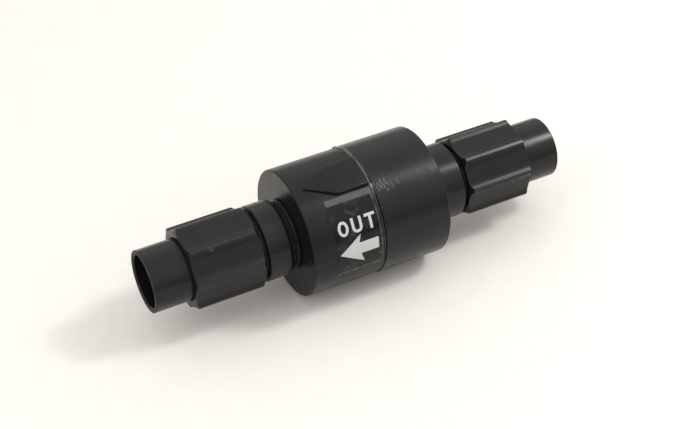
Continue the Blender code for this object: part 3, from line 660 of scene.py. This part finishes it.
def seam_bead(material):
    """Cement in the seam's groove: sunk low down, squeezed out and wandering on top."""
    section, rows = 12, 480
    angles = even_angles(rows)
    degrees = np.degrees(angles)

    def wander(at, turns, seed):
        return smooth_waves(np.full_like(angles, at), angles * turns, 1.0, seed)

    drift = wander(0.4, 6, 21) + 0.5 * wander(0.3, 21, 25)
    swell = wander(0.7, 9, 22) + 0.6 * wander(0.2, 17, 23)
    out = np.interp(degrees, (0, 48, 56, 150, 175, 330, 360), (0, 0.05, 1, 1, 0.2, 0, 0))
    along = np.interp(degrees, (0, 50, 62, 92, 110, 128, 150, 360),
                      (1.2, 1.0, 0.7, 0.8, 1.3, 1.6, 1.2, 1.2)) * MM
    blob = np.exp(-((degrees - 60.5) / 1.6) ** 2) + 1.3 * np.exp(-((degrees - 130.0) / 2.2) ** 2)
    wide = np.maximum((0.55 + out * (0.95 + 0.90 * swell) + 0.35 * blob) * MM, 0.35 * MM)
    tall = np.maximum((0.35 + out * (0.36 + 0.45 * swell) + 0.30 * blob) * MM, 0.25 * MM)
    middle = along + 0.9 * MM * drift * out
    sunk, raised = OUTLET_RADIUS - 0.95 * MM, OUTLET_RADIUS + 0.05 * MM
    base = sunk + (raised - sunk) * out
    verts = [Vector((middle[i] + wide[i] * math.cos(turn), 0, 0))
             + radial(angle) * (base[i] + tall[i] * math.sin(turn))
             for i, angle in enumerate(angles) for turn in even_angles(section)]
    return mesh_object("seam_cement", verts, ring_faces(rows, section), material)


# Dabs of set cement on the inlet half: x, angle, length, width, lean and height.
SMEARS = (
    (4.4, 57.0, 5.6, 1.2, -0.35, 0.42), (7.4, 55.6, 7.6, 1.3, -0.30, 0.46),
    (10.6, 54.6, 8.0, 1.2, -0.22, 0.44), (13.8, 55.4, 5.8, 1.1, -0.40, 0.38),
    (17.0, 54.0, 7.2, 1.2, -0.25, 0.42), (21.8, 55.2, 5.8, 1.1, -0.30, 0.38),
    (9.0, 60.6, 2.8, 1.8, 0.5, 0.26), (12.4, 50.8, 2.2, 1.6, 0.3, 0.24),
    (5.6, 52.6, 2.4, 1.2, 0.8, 0.24), (15.4, 51.6, 1.8, 1.0, -0.9, 0.22),
)


def cement_smears(material):
    """Short glossy strokes where cement was wiped off beside the seam."""
    rings, spokes, sunk = 4, 20, 0.05
    verts, faces = [], []
    for x, degrees, length, width, lean, height in SMEARS:
        start = len(verts)
        middle = math.radians(degrees) * BODY_RADIUS
        for i in range(rings, 0, -1):
            share = i / rings
            lift = (height * (1.0 - share ** 2) - sunk) * MM
            for k in range(spokes):
                turn = math.tau * k / spokes
                u = width / 2 * MM * share * math.cos(turn)
                v = length / 2 * MM * share * math.sin(turn)
                at = middle + v * math.cos(lean) - u * math.sin(lean)
                place = Vector((x * MM + u * math.cos(lean) + v * math.sin(lean), 0, 0))
                verts.append(place + radial(at / BODY_RADIUS) * (BODY_RADIUS + lift))
        verts.append(Vector((x * MM, 0, 0))
                     + radial(math.radians(degrees)) * (BODY_RADIUS + (height - sunk) * MM))
        for face in ring_faces(rings, spokes, closed=False):
            faces.append(tuple(start + k for k in face))
        top = start + (rings - 1) * spokes
        for k in range(spokes):
            faces.append((top + k, top + (k + 1) % spokes, start + rings * spokes))
        faces.append(tuple(start + k for k in range(spokes)))
    return mesh_object("cement_smears", verts, faces, material)


# ---- unions ------------------------------------------------------------------------------
def thread_wave(x, a, sign):
    """Trapezoid thread height, 0 to 1, of a right-hand helix about +X or -X."""
    phase = np.mod(x / THREAD_PITCH + sign * a / math.tau, 1.0)
    return np.clip(2.2 - np.abs(phase - 0.5) * 8.0, 0.0, 1.0)


def thread_ends(x, first, last):
    """Fades the thread in and out over half a turn."""
    lead = THREAD_PITCH / 2
    rise = np.clip((np.abs(x) - first) / lead, 0.0, 1.0)
    fall = np.clip((last - np.abs(x)) / lead, 0.0, 1.0)
    return np.minimum(rise, fall)


def connector(end, sign, plastic):
    """Hub, lip and neck, collar with a soft shoulder, and the threaded barrel."""
    inner_wall = BODY_END - END_WALL - GAP
    corners = [
        (inner_wall - HUB_FLANGE_WIDTH, FLOW_BORE, 1.0 * MM),
        (inner_wall - HUB_FLANGE_WIDTH, FLANGE_RADIUS, 0.6 * MM),
        (inner_wall, FLANGE_RADIUS, 0.4 * MM),
        (inner_wall, HUB_RADIUS),
        (LIP_START, HUB_RADIUS),
        (LIP_START, LIP_RADIUS, 0.3 * MM),
        (LIP_END, LIP_RADIUS, 0.35 * MM),
        (LIP_END, NECK_RADIUS, 0.4 * MM),
        (COLLAR_START, NECK_RADIUS, 0.4 * MM),
        (COLLAR_START, COLLAR_RADIUS, COLLAR_SHOULDER),
        (COLLAR_END, COLLAR_RADIUS, COLLAR_EDGE),
        (COLLAR_END, UNDERCUT_RADIUS, 0.3 * MM),
        (UNDERCUT_END, UNDERCUT_RADIUS, 0.8 * MM),
        (BARREL_START, BARREL_RADIUS - THREAD_DEPTH, 0.5 * MM),
        (BARREL_END, BARREL_RADIUS - THREAD_DEPTH, 0.5 * MM),
        (BARREL_END, RING_GROOVE_OUTER, 0.15 * MM),
        (BARREL_END - RING_GROOVE_DEPTH, RING_GROOVE_OUTER, 0.3 * MM),
        (BARREL_END - RING_GROOVE_DEPTH, RING_GROOVE_INNER, 0.3 * MM),
        (BARREL_END, RING_GROOVE_INNER, 0.15 * MM),
        (BARREL_END, FLOW_BORE, 0.5 * MM),
    ]
    if sign < 0:
        corners = mirrored(corners)
    outline = thread_rows(refined(rounded(corners, 5)), THREAD_START)

    def shape(x, r, a):
        on_barrel = np.abs(r - (BARREL_RADIUS - THREAD_DEPTH)) < 0.01 * MM
        height = THREAD_DEPTH * thread_wave(x, a, -sign) * thread_ends(x, THREAD_START, THREAD_END)
        return x, np.where(on_barrel, r + height, r)

    return revolve(f"{end}_connector_body", outline, even_angles(TURNED_STEPS), shape, plastic)


def thread_rows(outline, first):
    """Add close rows to the barrel's outside or the nut's inside where its thread runs."""
    rows = []
    for here, there in zip(outline, np.roll(outline, -1, axis=0)):
        rows.append(here)
        run = abs(there[0] - here[0])
        level = abs(here[1] - there[1]) < 1e-9 and UNDERCUT_RADIUS < here[1] < NUT_SKIRT_BORE
        if level and run > 0.5 * MM and first < abs(here[0] + there[0]) / 2 < THREAD_END:
            pieces = max(1, int(round(run / (THREAD_PITCH / 16))))
            rows += [here + (there - here) * k / pieces for k in range(1, pieces)]
    return np.array(rows)


def tailpiece(end, sign, plastic):
    """Plain pipe-size tail with its flange and a chamfer inside its mouth."""
    flange_back = TAIL_START + TAIL_FLANGE_WIDTH
    corners = [
        (TAIL_START, FLOW_BORE, 0.4 * MM),
        (TAIL_START, TAIL_FLANGE_RADIUS, 0.4 * MM),
        (flange_back, TAIL_FLANGE_RADIUS, 0.6 * MM),
        (flange_back, TAIL_RADIUS, 0.5 * MM),
        (TAIL_END, TAIL_RADIUS, 0.5 * MM),
        (TAIL_END, FLOW_BORE + MOUTH_CHAMFER_RISE, 0.25 * MM),
        (TAIL_END - MOUTH_CHAMFER_RUN, FLOW_BORE, 0.3 * MM),
    ]
    if sign < 0:
        corners = mirrored(corners)

    def shape(x, r, a):
        sink = 0.02 * MM * (smooth_waves(x, a, 30.0 * MM, 31 + sign) - 1.0)
        return x, np.where(np.abs(r - TAIL_RADIUS) < 0.4 * MM, r + sink, r)

    outline = refined(rounded(corners, 5))
    return revolve(f"{end}_tail_tube", outline, even_angles(TURNED_STEPS), shape, plastic)


def rib_table():
    """Outer radius against angle from the middle of a rib to the middle of a flat."""
    half_pitch = math.pi / NUT_SIDES

    def plane(side):
        """Height of the flat's plane beside the rib."""
        return (NUT_FLAT - side * math.sin(half_pitch)) / math.cos(half_pitch)

    corners = [(-NUT_RIB_HALF_TOP, NUT_RIB_TOP), (NUT_RIB_HALF_TOP, NUT_RIB_TOP)]
    rise = NUT_RIB_TOP - plane(NUT_RIB_HALF_TOP)
    for share in np.linspace(0.0, 1.0, 11)[1:]:
        side = NUT_RIB_HALF_TOP + share * (NUT_RIB_HALF_FOOT - NUT_RIB_HALF_TOP)
        corners.append((side, plane(side) + rise * (1.0 - share) ** NUT_RIB_HOLLOW))
    corners.append((NUT_FLAT, plane(NUT_FLAT)))
    angles = np.linspace(0.0, half_pitch, 240)
    radius = np.full(angles.shape, NUT_RIB_TOP)
    for (s0, h0), (s1, h1) in zip(corners, corners[1:]):
        # where the spoke at each angle meets this straight part of the section
        side, up = np.sin(angles), np.cos(angles)
        part = (up * s0 - side * h0) / (side * (h1 - h0) - up * (s1 - s0))
        on = (part >= 0.0) & (part <= 1.0)
        radius = np.where(on, np.hypot(s0 + part * (s1 - s0), h0 + part * (h1 - h0)), radius)
    full = np.concatenate([radius[:0:-1], radius, radius[-2::-1]])
    reach = 7
    window = np.hanning(2 * reach + 1)
    soft = np.convolve(np.pad(full, reach, mode="edge"), window / window.sum(), mode="valid")
    soft = soft[len(angles) - 1:2 * len(angles) - 1]
    return angles, soft * NUT_RIB_TOP / soft[0]


RIB_ANGLES, RIB_RADII = rib_table()


def nut_profile(a):
    """Outer radius of the nut at an angle, and how much of it is the top of a rib."""
    pitch = math.tau / NUT_SIDES
    off = np.abs(np.mod(a - NUT_RIB_ANGLE + pitch / 2, pitch) - pitch / 2)
    rib = np.clip(1.6 - off * NUT_RIB_TOP / (1.2 * MM), 0.0, 1.0)
    return np.interp(off, RIB_ANGLES, RIB_RADII), rib


def nut_angles():
    """Angles round the nut, close together on the ribs."""
    off = np.radians([0.0, 0.7, 1.4, 1.9, 2.3, 2.7, 3.1, 3.5, 4.0, 4.6, 5.3, 6.2, 7.2, 8.4, 9.8, 11.4,
                      12.6, 15.0, 18.5])
    off = np.concatenate([-off[:0:-1], off, [math.pi / NUT_SIDES]])
    middles = NUT_RIB_ANGLE + np.arange(NUT_SIDES) * math.tau / NUT_SIDES
    return (middles[:, None] + off[None, :]).ravel()


def nut_cone(x):
    """Largest radius of the nut at a distance along it: both ends are turned to a cone."""
    start = NUT_START_RADIUS + (x - NUT_START) * (NUT_RIB_TOP - NUT_START_RADIUS) / NUT_START_CONE
    end = NUT_END_RADIUS + (NUT_END - x) * (NUT_RIB_TOP - NUT_END_RADIUS) / NUT_END_CONE
    return np.minimum(start, end)


def union_nut(end, sign, material):
    """Long eight-sided nut with a rounded rib on each corner and a threaded inside."""
    thread_root = BARREL_RADIUS + 0.4 * MM
    fine = 0.28 * MM
    first = np.arange(NUT_START, NUT_START + NUT_START_CONE + 0.5 * MM, fine)
    last = np.arange(NUT_END, NUT_END - NUT_END_CONE - 0.5 * MM, -fine)[::-1]
    between = np.linspace(first[-1], last[0], 22)[1:-1]
    outside = [(x, NUT_RIB_TOP) for x in np.concatenate([first, between, last])]
    inside = rounded([
        (NUT_END, NUT_END_RADIUS),
        (NUT_END, NUT_SHOULDER_BORE, 0.4 * MM),
        (NUT_SHOULDER_X, NUT_SHOULDER_BORE, 0.2 * MM),
        (NUT_SHOULDER_X, thread_root, 0.3 * MM),
        (NUT_SKIRT_END, thread_root, 0.4 * MM),
        (NUT_SKIRT_END - 0.6 * MM, NUT_SKIRT_BORE, 0.4 * MM),
        (NUT_START, NUT_SKIRT_BORE, 0.5 * MM),
        (NUT_START, NUT_START_RADIUS),
    ], 4)
    inside = refined(inside, edge=0.3 * MM)
    keep = (inside[:, 1] < NUT_SKIRT_BORE + 0.6 * MM) & (inside[:, 1] < NUT_START_RADIUS - 0.2 * MM)
    near_end = (inside[:, 0] > NUT_END - 0.1 * MM) & (inside[:, 1] > NUT_END_RADIUS - 0.2 * MM)
    outline = np.concatenate([np.array(outside), inside[keep & ~near_end]])
    outline = thread_rows(outline, THREAD_START - 2.5 * MM)
    if sign < 0:
        outline[:, 0] *= -1

    def shape(x, r, a):
        outer, _ = nut_profile(a)
        on_outside = r > NUT_RIB_TOP - 0.01 * MM
        r = np.where(on_outside, np.minimum(outer, nut_cone(np.abs(x))), r)
        on_thread = np.abs(r - thread_root) < 0.01 * MM
        wave = thread_wave(x + sign * THREAD_PITCH / 2, a, -sign)
        height = THREAD_DEPTH * wave * thread_ends(x, THREAD_START - 2.0 * MM, THREAD_END)
        return x, np.where(on_thread, r - height, r)

    piece = revolve(f"{end}_nut_body", outline, nut_angles(), shape, material)
    # Where the rib crowns are, which the nut material paints paler: rubbed wear and painted
    # highlight.
    points = np.empty(len(piece.data.vertices) * 3, np.float32)
    piece.data.vertices.foreach_get("co", points)
    _, y, z = points.reshape(-1, 3).T
    outer, rib = nut_profile(np.arctan2(z, -y))
    store(piece, "rib", np.where(np.hypot(y, z) > outer - 1.2 * MM, rib, 0.0))
    return piece


def gate_nub(material):
    """Stub left where the outlet nut's moulding gate was cut."""
    sides = 24
    outer, _ = nut_profile(np.array([NUB_ANGLE]))
    base = float(outer[0]) - NUB_ROOT
    top = NUB_ROOT + NUB_HEIGHT
    rings = ((NUB_RADIUS * 1.15, 0.0), (NUB_RADIUS, NUB_ROOT), (NUB_RADIUS, top - 0.2 * MM),
             (NUB_RADIUS - 0.2 * MM, top), (NUB_RADIUS * 0.4, top - 0.05 * MM))
    out, along, across = radial(NUB_ANGLE), Vector((1, 0, 0)), radial(NUB_ANGLE + math.pi / 2)
    verts = [Vector((NUB_X, 0, 0)) + out * (base + up)
             + along * wide * math.cos(turn) + across * wide * math.sin(turn)
             for wide, up in rings for turn in even_angles(sides)]
    piece = mesh_object("outlet_nut_gate_nub", verts, capped_faces(len(rings), sides), material)
    # The whole nub takes the ribs' paler crown colour: painted highlight and rubbed wear.
    store(piece, "rib", np.ones(len(verts)))
    return piece


# ---- label -------------------------------------------------------------------------------
def wrapped(x, arc, height):
    """Point on the outlet casing at a distance along the arc, from angle 0, and a height."""
    return Vector((x, 0, 0)) + radial(arc / OUTLET_RADIUS) * (OUTLET_RADIUS + height)


def film(material):
    """The clear film, with its edges just lifted, and where its painted highlights lie: the strip
    along its top and its right and low edges.
    """
    across, along = 40, 96
    low, high = LABEL_LOW * OUTLET_RADIUS, LABEL_HIGH * OUTLET_RADIUS
    bottom, top, strip, edge_highlight = [], [], [], []
    for j in range(along + 1):
        v = j / along
        for i in range(across + 1):
            u = i / across
            x = LABEL_START + (LABEL_END - LABEL_START) * u
            arc = low + (high - low) * v
            edge = min(x - LABEL_START, LABEL_END - x, arc - low, high - arc)
            lift = FILM_GAP + FILM_CURL * math.exp(-edge / FILM_CURL_REACH)
            bottom.append(wrapped(x, arc, lift))
            top.append(wrapped(x, arc, lift + FILM_THICKNESS))
            strip.append(float(high - arc < STRIP_WIDTH))
            edge_highlight.append(float(LABEL_END - x < RIGHT_BORDER or arc - low < LOW_BORDER))
    row = across + 1
    count = len(bottom)
    faces = []
    for j in range(along):
        for i in range(across):
            a = j * row + i
            quad = (a, a + 1, a + row + 1, a + row)
            faces += [quad[::-1], tuple(count + k for k in quad)]
    rim = list(range(row)) + [j * row + across for j in range(1, along + 1)]
    rim += [along * row + i for i in range(across - 1, -1, -1)]
    rim += [j * row for j in range(along - 1, 0, -1)]
    for a, b in zip(rim, rim[1:] + rim[:1]):
        faces.append((a, b, count + b, count + a))
    piece = mesh_object("flow_label_film", bottom + top, faces, material)
    store(piece, "strip", strip + strip)
    store(piece, "edge_highlight", edge_highlight + edge_highlight)
    return piece


def printed(name, outlines, material):
    """Thin ink shapes from flat (x, arc) outlines, cut fine and wrapped on the film."""
    bm = bmesh.new()
    for outline in outlines:
        bm.faces.new([bm.verts.new((x, arc, 0.0)) for x, arc in outline])
    bmesh.ops.triangulate(bm, faces=bm.faces)
    for _ in range(3):
        long_edges = [edge for edge in bm.edges if edge.calc_length() > 1.2 * MM]
        bmesh.ops.subdivide_edges(bm, edges=long_edges, cuts=1)
        bmesh.ops.triangulate(bm, faces=[face for face in bm.faces if len(face.verts) > 3])
    grown = bmesh.ops.extrude_face_region(bm, geom=list(bm.faces))["geom"]
    lifted = {part for part in grown if isinstance(part, bmesh.types.BMVert)}
    for vert in bm.verts:
        height = FILM_GAP + FILM_THICKNESS + (INK_TOP if vert in lifted else INK_FOOT)
        vert.co = wrapped(vert.co.x, vert.co.y, height)
    mesh = closed_mesh(name, bm)
    smoothed(mesh, material)
    return linked(name, mesh)


def arrow_outline():
    """Arrow towards the outlet, with its barbs swept back."""
    corners = ((-36.7, 7.7), (-16.7, -3.9), (-19.5, 4.05), (-4.5, 4.05), (-4.5, 13.5),
               (-20.5, 13.5), (-18.3, 20.1))
    return [(x * MM, arc * MM) for x, arc in corners]


def bar(x0, y0, x1, y1):
    """A straight stroke with square ends."""
    along = Vector((x1 - x0, y1 - y0)).normalized() * LETTER_PEN / 2
    side = Vector((-along.y, along.x))
    a, b = Vector((x0, y0)) - along, Vector((x1, y1)) + along
    return [tuple(a + side), tuple(a - side), tuple(b - side), tuple(b + side)]


def letters():
    """The plain capitals O U T, each a few strokes, set along the axis."""
    foot, top = WORD_FOOT, WORD_FOOT + LETTER_HEIGHT
    shapes = ring_letter(WORD_LEFT, foot)
    second = WORD_LEFT + LETTER_WIDTH + LETTER_GAP
    steps = 8
    bend = LETTER_WIDTH / 2
    curve = [(second + bend - bend * math.cos(math.pi * k / steps),
              foot + bend - bend * math.sin(math.pi * k / steps)) for k in range(steps + 1)]
    shapes += ribbon([(second, top)] + curve + [(second + LETTER_WIDTH, top)])
    third = second + LETTER_WIDTH + LETTER_GAP
    shapes.append(bar(third, top, third + LETTER_WIDTH, top))
    shapes.append(bar(third + bend, foot, third + bend, top - LETTER_PEN * 1.02))
    return shapes


def unit_rows(rows):
    """Each row of an array, scaled to length 1."""
    return rows / np.linalg.norm(rows, axis=1)[:, None]


def ribbon(stations):
    """A stroke of even width along a line of points, as joined four-sided pieces."""
    points = np.array(stations)
    runs = unit_rows(points[1:] - points[:-1])
    along = unit_rows(np.vstack([runs, runs[-1]]) + np.vstack([runs[0], runs]))
    side = np.stack([-along[:, 1], along[:, 0]], axis=1) * LETTER_PEN / 2
    ends = points.copy()
    ends[0] -= along[0] * LETTER_PEN / 2
    ends[-1] += along[-1] * LETTER_PEN / 2
    left, right = ends + side, ends - side
    return [[tuple(left[i]), tuple(left[i + 1]), tuple(right[i + 1]), tuple(right[i])]
            for i in range(len(points) - 1)]


def ring_letter(x, foot):
    """The O as short curved pieces."""
    pieces = []
    count = 16
    half = Vector((LETTER_WIDTH / 2, LETTER_HEIGHT / 2))
    pen = Vector((LETTER_PEN / 2, LETTER_PEN / 2))
    centre = Vector((x, foot)) + half
    outer, inner = half + pen, half - pen
    for i in range(count):
        quad = []
        for size, step in ((outer, i), (outer, i + 1), (inner, i + 1), (inner, i)):
            turn = math.tau * step / count
            quad.append((centre.x + size.x * math.cos(turn), centre.y + size.y * math.sin(turn)))
        pieces.append(quad)
    return pieces


# ---- spring ------------------------------------------------------------------------------
def spring(material):
    """Round-wire compression spring with a closed, ground turn at each end."""
    low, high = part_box("spring")
    mean = high.z - WIRE_RADIUS
    start, end = low.x + WIRE_RADIUS, high.x - WIRE_RADIUS
    per_turn, section = 48, 12
    open_pitch = (end - start - 2 * SPRING_END_PITCH) / SPRING_OPEN_TURNS
    rows = (SPRING_OPEN_TURNS + 2) * per_turn + 1
    verts = []
    for i in range(rows):
        turn = i / per_turn
        first = min(turn, 1.0)
        middle = min(max(turn - 1.0, 0.0), SPRING_OPEN_TURNS)
        last = max(turn - 1.0 - SPRING_OPEN_TURNS, 0.0)
        x = start + (first + last) * SPRING_END_PITCH + middle * open_pitch
        outward = radial(math.tau * turn)
        centre = Vector((x, 0, 0)) + outward * mean
        for angle in even_angles(section):
            spoke = outward * math.cos(angle) + Vector((1, 0, 0)) * math.sin(angle)
            verts.append(centre + spoke * WIRE_RADIUS)
    return mesh_object("spring_coil", verts, capped_faces(rows, section), material)


# ---- putting it together -----------------------------------------------------------------
def fit(piece, body, node):
    """Put a piece on its body in place of a CAD node."""
    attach(piece, body)
    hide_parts(node)


def finish_node(node, material):
    """Give a carried-over CAD node its finish, soft edges and smooth shading."""
    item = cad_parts[node]
    item.data.materials.clear()
    item.data.materials.append(material)
    item.data.shade_smooth()
    item.data.set_sharp_from_angle(angle=SHARP_ANGLE)
    soft = item.modifiers.new("soft_edges", "BEVEL")
    soft.width = 0.15 * MM
    soft.segments = 2
    soft.limit_method = "ANGLE"
    soft.angle_limit = SHARP_ANGLE


def build_valve():
    scuffed = ((9.0 * MM, *(radial(math.radians(57.0)) * BODY_RADIUS)[1:]), 15.0 * MM)
    near_rim = ((50.0 * MM, *(radial(math.radians(55.0)) * BODY_RADIUS)[1:]), 6.0 * MM)
    casing_in = moulded_plastic("inlet_casing_plastic", (0.0046, 0.0050, 0.0052),
                                (0.0074, 0.0079, 0.0080), 0.27, 1.35, smears=(scuffed, near_rim))
    casing_out = moulded_plastic("outlet_casing_plastic", (0.0042, 0.0046, 0.0048),
                                 (0.0068, 0.0072, 0.0072), 0.29, 1.32)
    plain = moulded_plastic("connector_plastic", (0.0046, 0.0049, 0.0050),
                            (0.0074, 0.0077, 0.0076), 0.25, 1.36)
    tube = moulded_plastic("tail_plastic", (0.0046, 0.0048, 0.0048),
                           (0.0074, 0.0076, 0.0073), 0.24, 1.36, sawn_from=TAIL_END - SAWN_LENGTH)
    nuts = nut_plastic()
    black_rubber = rubber()
    grey = pale_plastic("grey_plastic", (0.24, 0.25, 0.26), (0.33, 0.34, 0.35), 0.45)
    white = pale_plastic("white_plastic", (0.70, 0.69, 0.65), (0.80, 0.79, 0.75), 0.38)
    steel = turned_steel()

    fit(inlet_casing(casing_in), "body", "inlet_casing")
    fit(outlet_casing(casing_out), "body", "outlet_casing")
    # the seam bead is painted paler above 38 mm: painted highlight on its top
    bead_cement = cement("bead_cement", (0.008, 0.008, 0.008), (0.055, 0.055, 0.053), 38.0 * MM)
    thin_cement = cement("smeared_cement", (0.022, 0.022, 0.021), (0.105, 0.105, 0.100))
    fit(seam_bead(bead_cement), "body", "seam_bead")
    smears = cement_smears(thin_cement)
    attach(smears, "body")
    fit(film(clear_film()), "body", "flow_label")
    ink = print_ink()
    for name, outlines in (("flow_arrow_print", [arrow_outline()]), ("flow_word_print", letters())):
        piece = printed(name, outlines, ink)
        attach(piece, "body")
    for end, sign in (("inlet", 1), ("outlet", -1)):
        fit(connector(end, sign, plain), "body", f"{end}_connector")
        fit(tailpiece(end, sign, tube), f"{end}_tail", f"{end}_tailpiece")
        fit(union_nut(end, sign, nuts), f"{end}_nut", f"{end}_union_nut")
        finish_node(f"{end}_union_oring", black_rubber)
    nub = gate_nub(nuts)
    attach(nub, "outlet_nut")
    coil = spring(steel)
    fit(coil, "body", "spring")
    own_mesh(coil)
    for node, material in (
        ("seat_ring", grey), ("spacer_sleeve", grey), ("guide_spider", grey), ("guide_bush", white),
        ("seat_oring", black_rubber), ("poppet_seal", black_rubber), ("poppet_disc", white),
        ("seal_retainer", white), ("poppet_stem", steel), ("stem_nut", steel), ("stem_clip", steel),
    ):
        finish_node(node, material)


# ---- studio ------------------------------------------------------------------------------
def add_floor():
    corners = [(-1, -1), (1, -1), (1, 1), (-1, 1)]
    floor = mesh_object("floor", [(x * FLOOR_HALF, y * FLOOR_HALF, 0) for x, y in corners],
                        [(0, 1, 2, 3)], floor_paper())
    floor.location.z = cad_low.z - FLOOR_GAP


def aim(item, backwards):
    """Turn a light or camera so that it looks away from a direction."""
    item.rotation_mode = "QUATERNION"
    item.rotation_quaternion = backwards.to_track_quat("Z", "Y")


def add_area(name, direction, distance, size, power):
    """A soft box light that faces the valve."""
    light = bpy.data.lights.new(name, "AREA")
    light.shape = "RECTANGLE"
    light.size, light.size_y = size
    light.energy = power
    lamp = linked(name, light)
    towards = Vector(direction).normalized()
    lamp.location = towards * distance
    aim(lamp, towards)


def add_camera():
    """The view from the left, in front and above."""
    data = bpy.data.cameras.new("camera")
    data.lens = LENS
    data.sensor_width = SENSOR_WIDTH
    camera = linked("camera", data)
    camera.location = CAMERA_PLACE
    aim(camera, -Vector(CAMERA_VIEW).normalized())
    bpy.context.scene.camera = camera


def add_light():
    """A soft sky that is dim at the horizon, a key box high on the right with a small lamp
    beside it, and a weak wide box on the left."""
    world = bpy.data.worlds.new("studio")
    world.use_nodes = True
    tree = world.node_tree
    place = tree.nodes.new("ShaderNodeTexCoord")
    split = tree.nodes.new("ShaderNodeSeparateXYZ")
    tree.links.new(place.outputs["Generated"], split.inputs[0])
    rise = tree.nodes.new("ShaderNodeMapRange")
    tree.links.new(split.outputs["Z"], rise.inputs["Value"])
    for key, value in (("From Min", 0.0), ("From Max", SKY_RISE), ("To Min", SKY_DIM),
                       ("To Max", SKY_BRIGHT)):
        rise.inputs[key].default_value = value
    back = tree.nodes["Background"]
    back.inputs["Color"].default_value = SKY_COLOUR
    tree.links.new(rise.outputs["Result"], back.inputs["Strength"])
    bpy.context.scene.world = world
    for light in LIGHTS:
        add_area(*light)
    bpy.context.scene.view_settings.view_transform = "Standard"


build_valve()
add_floor()
add_light()
add_camera()
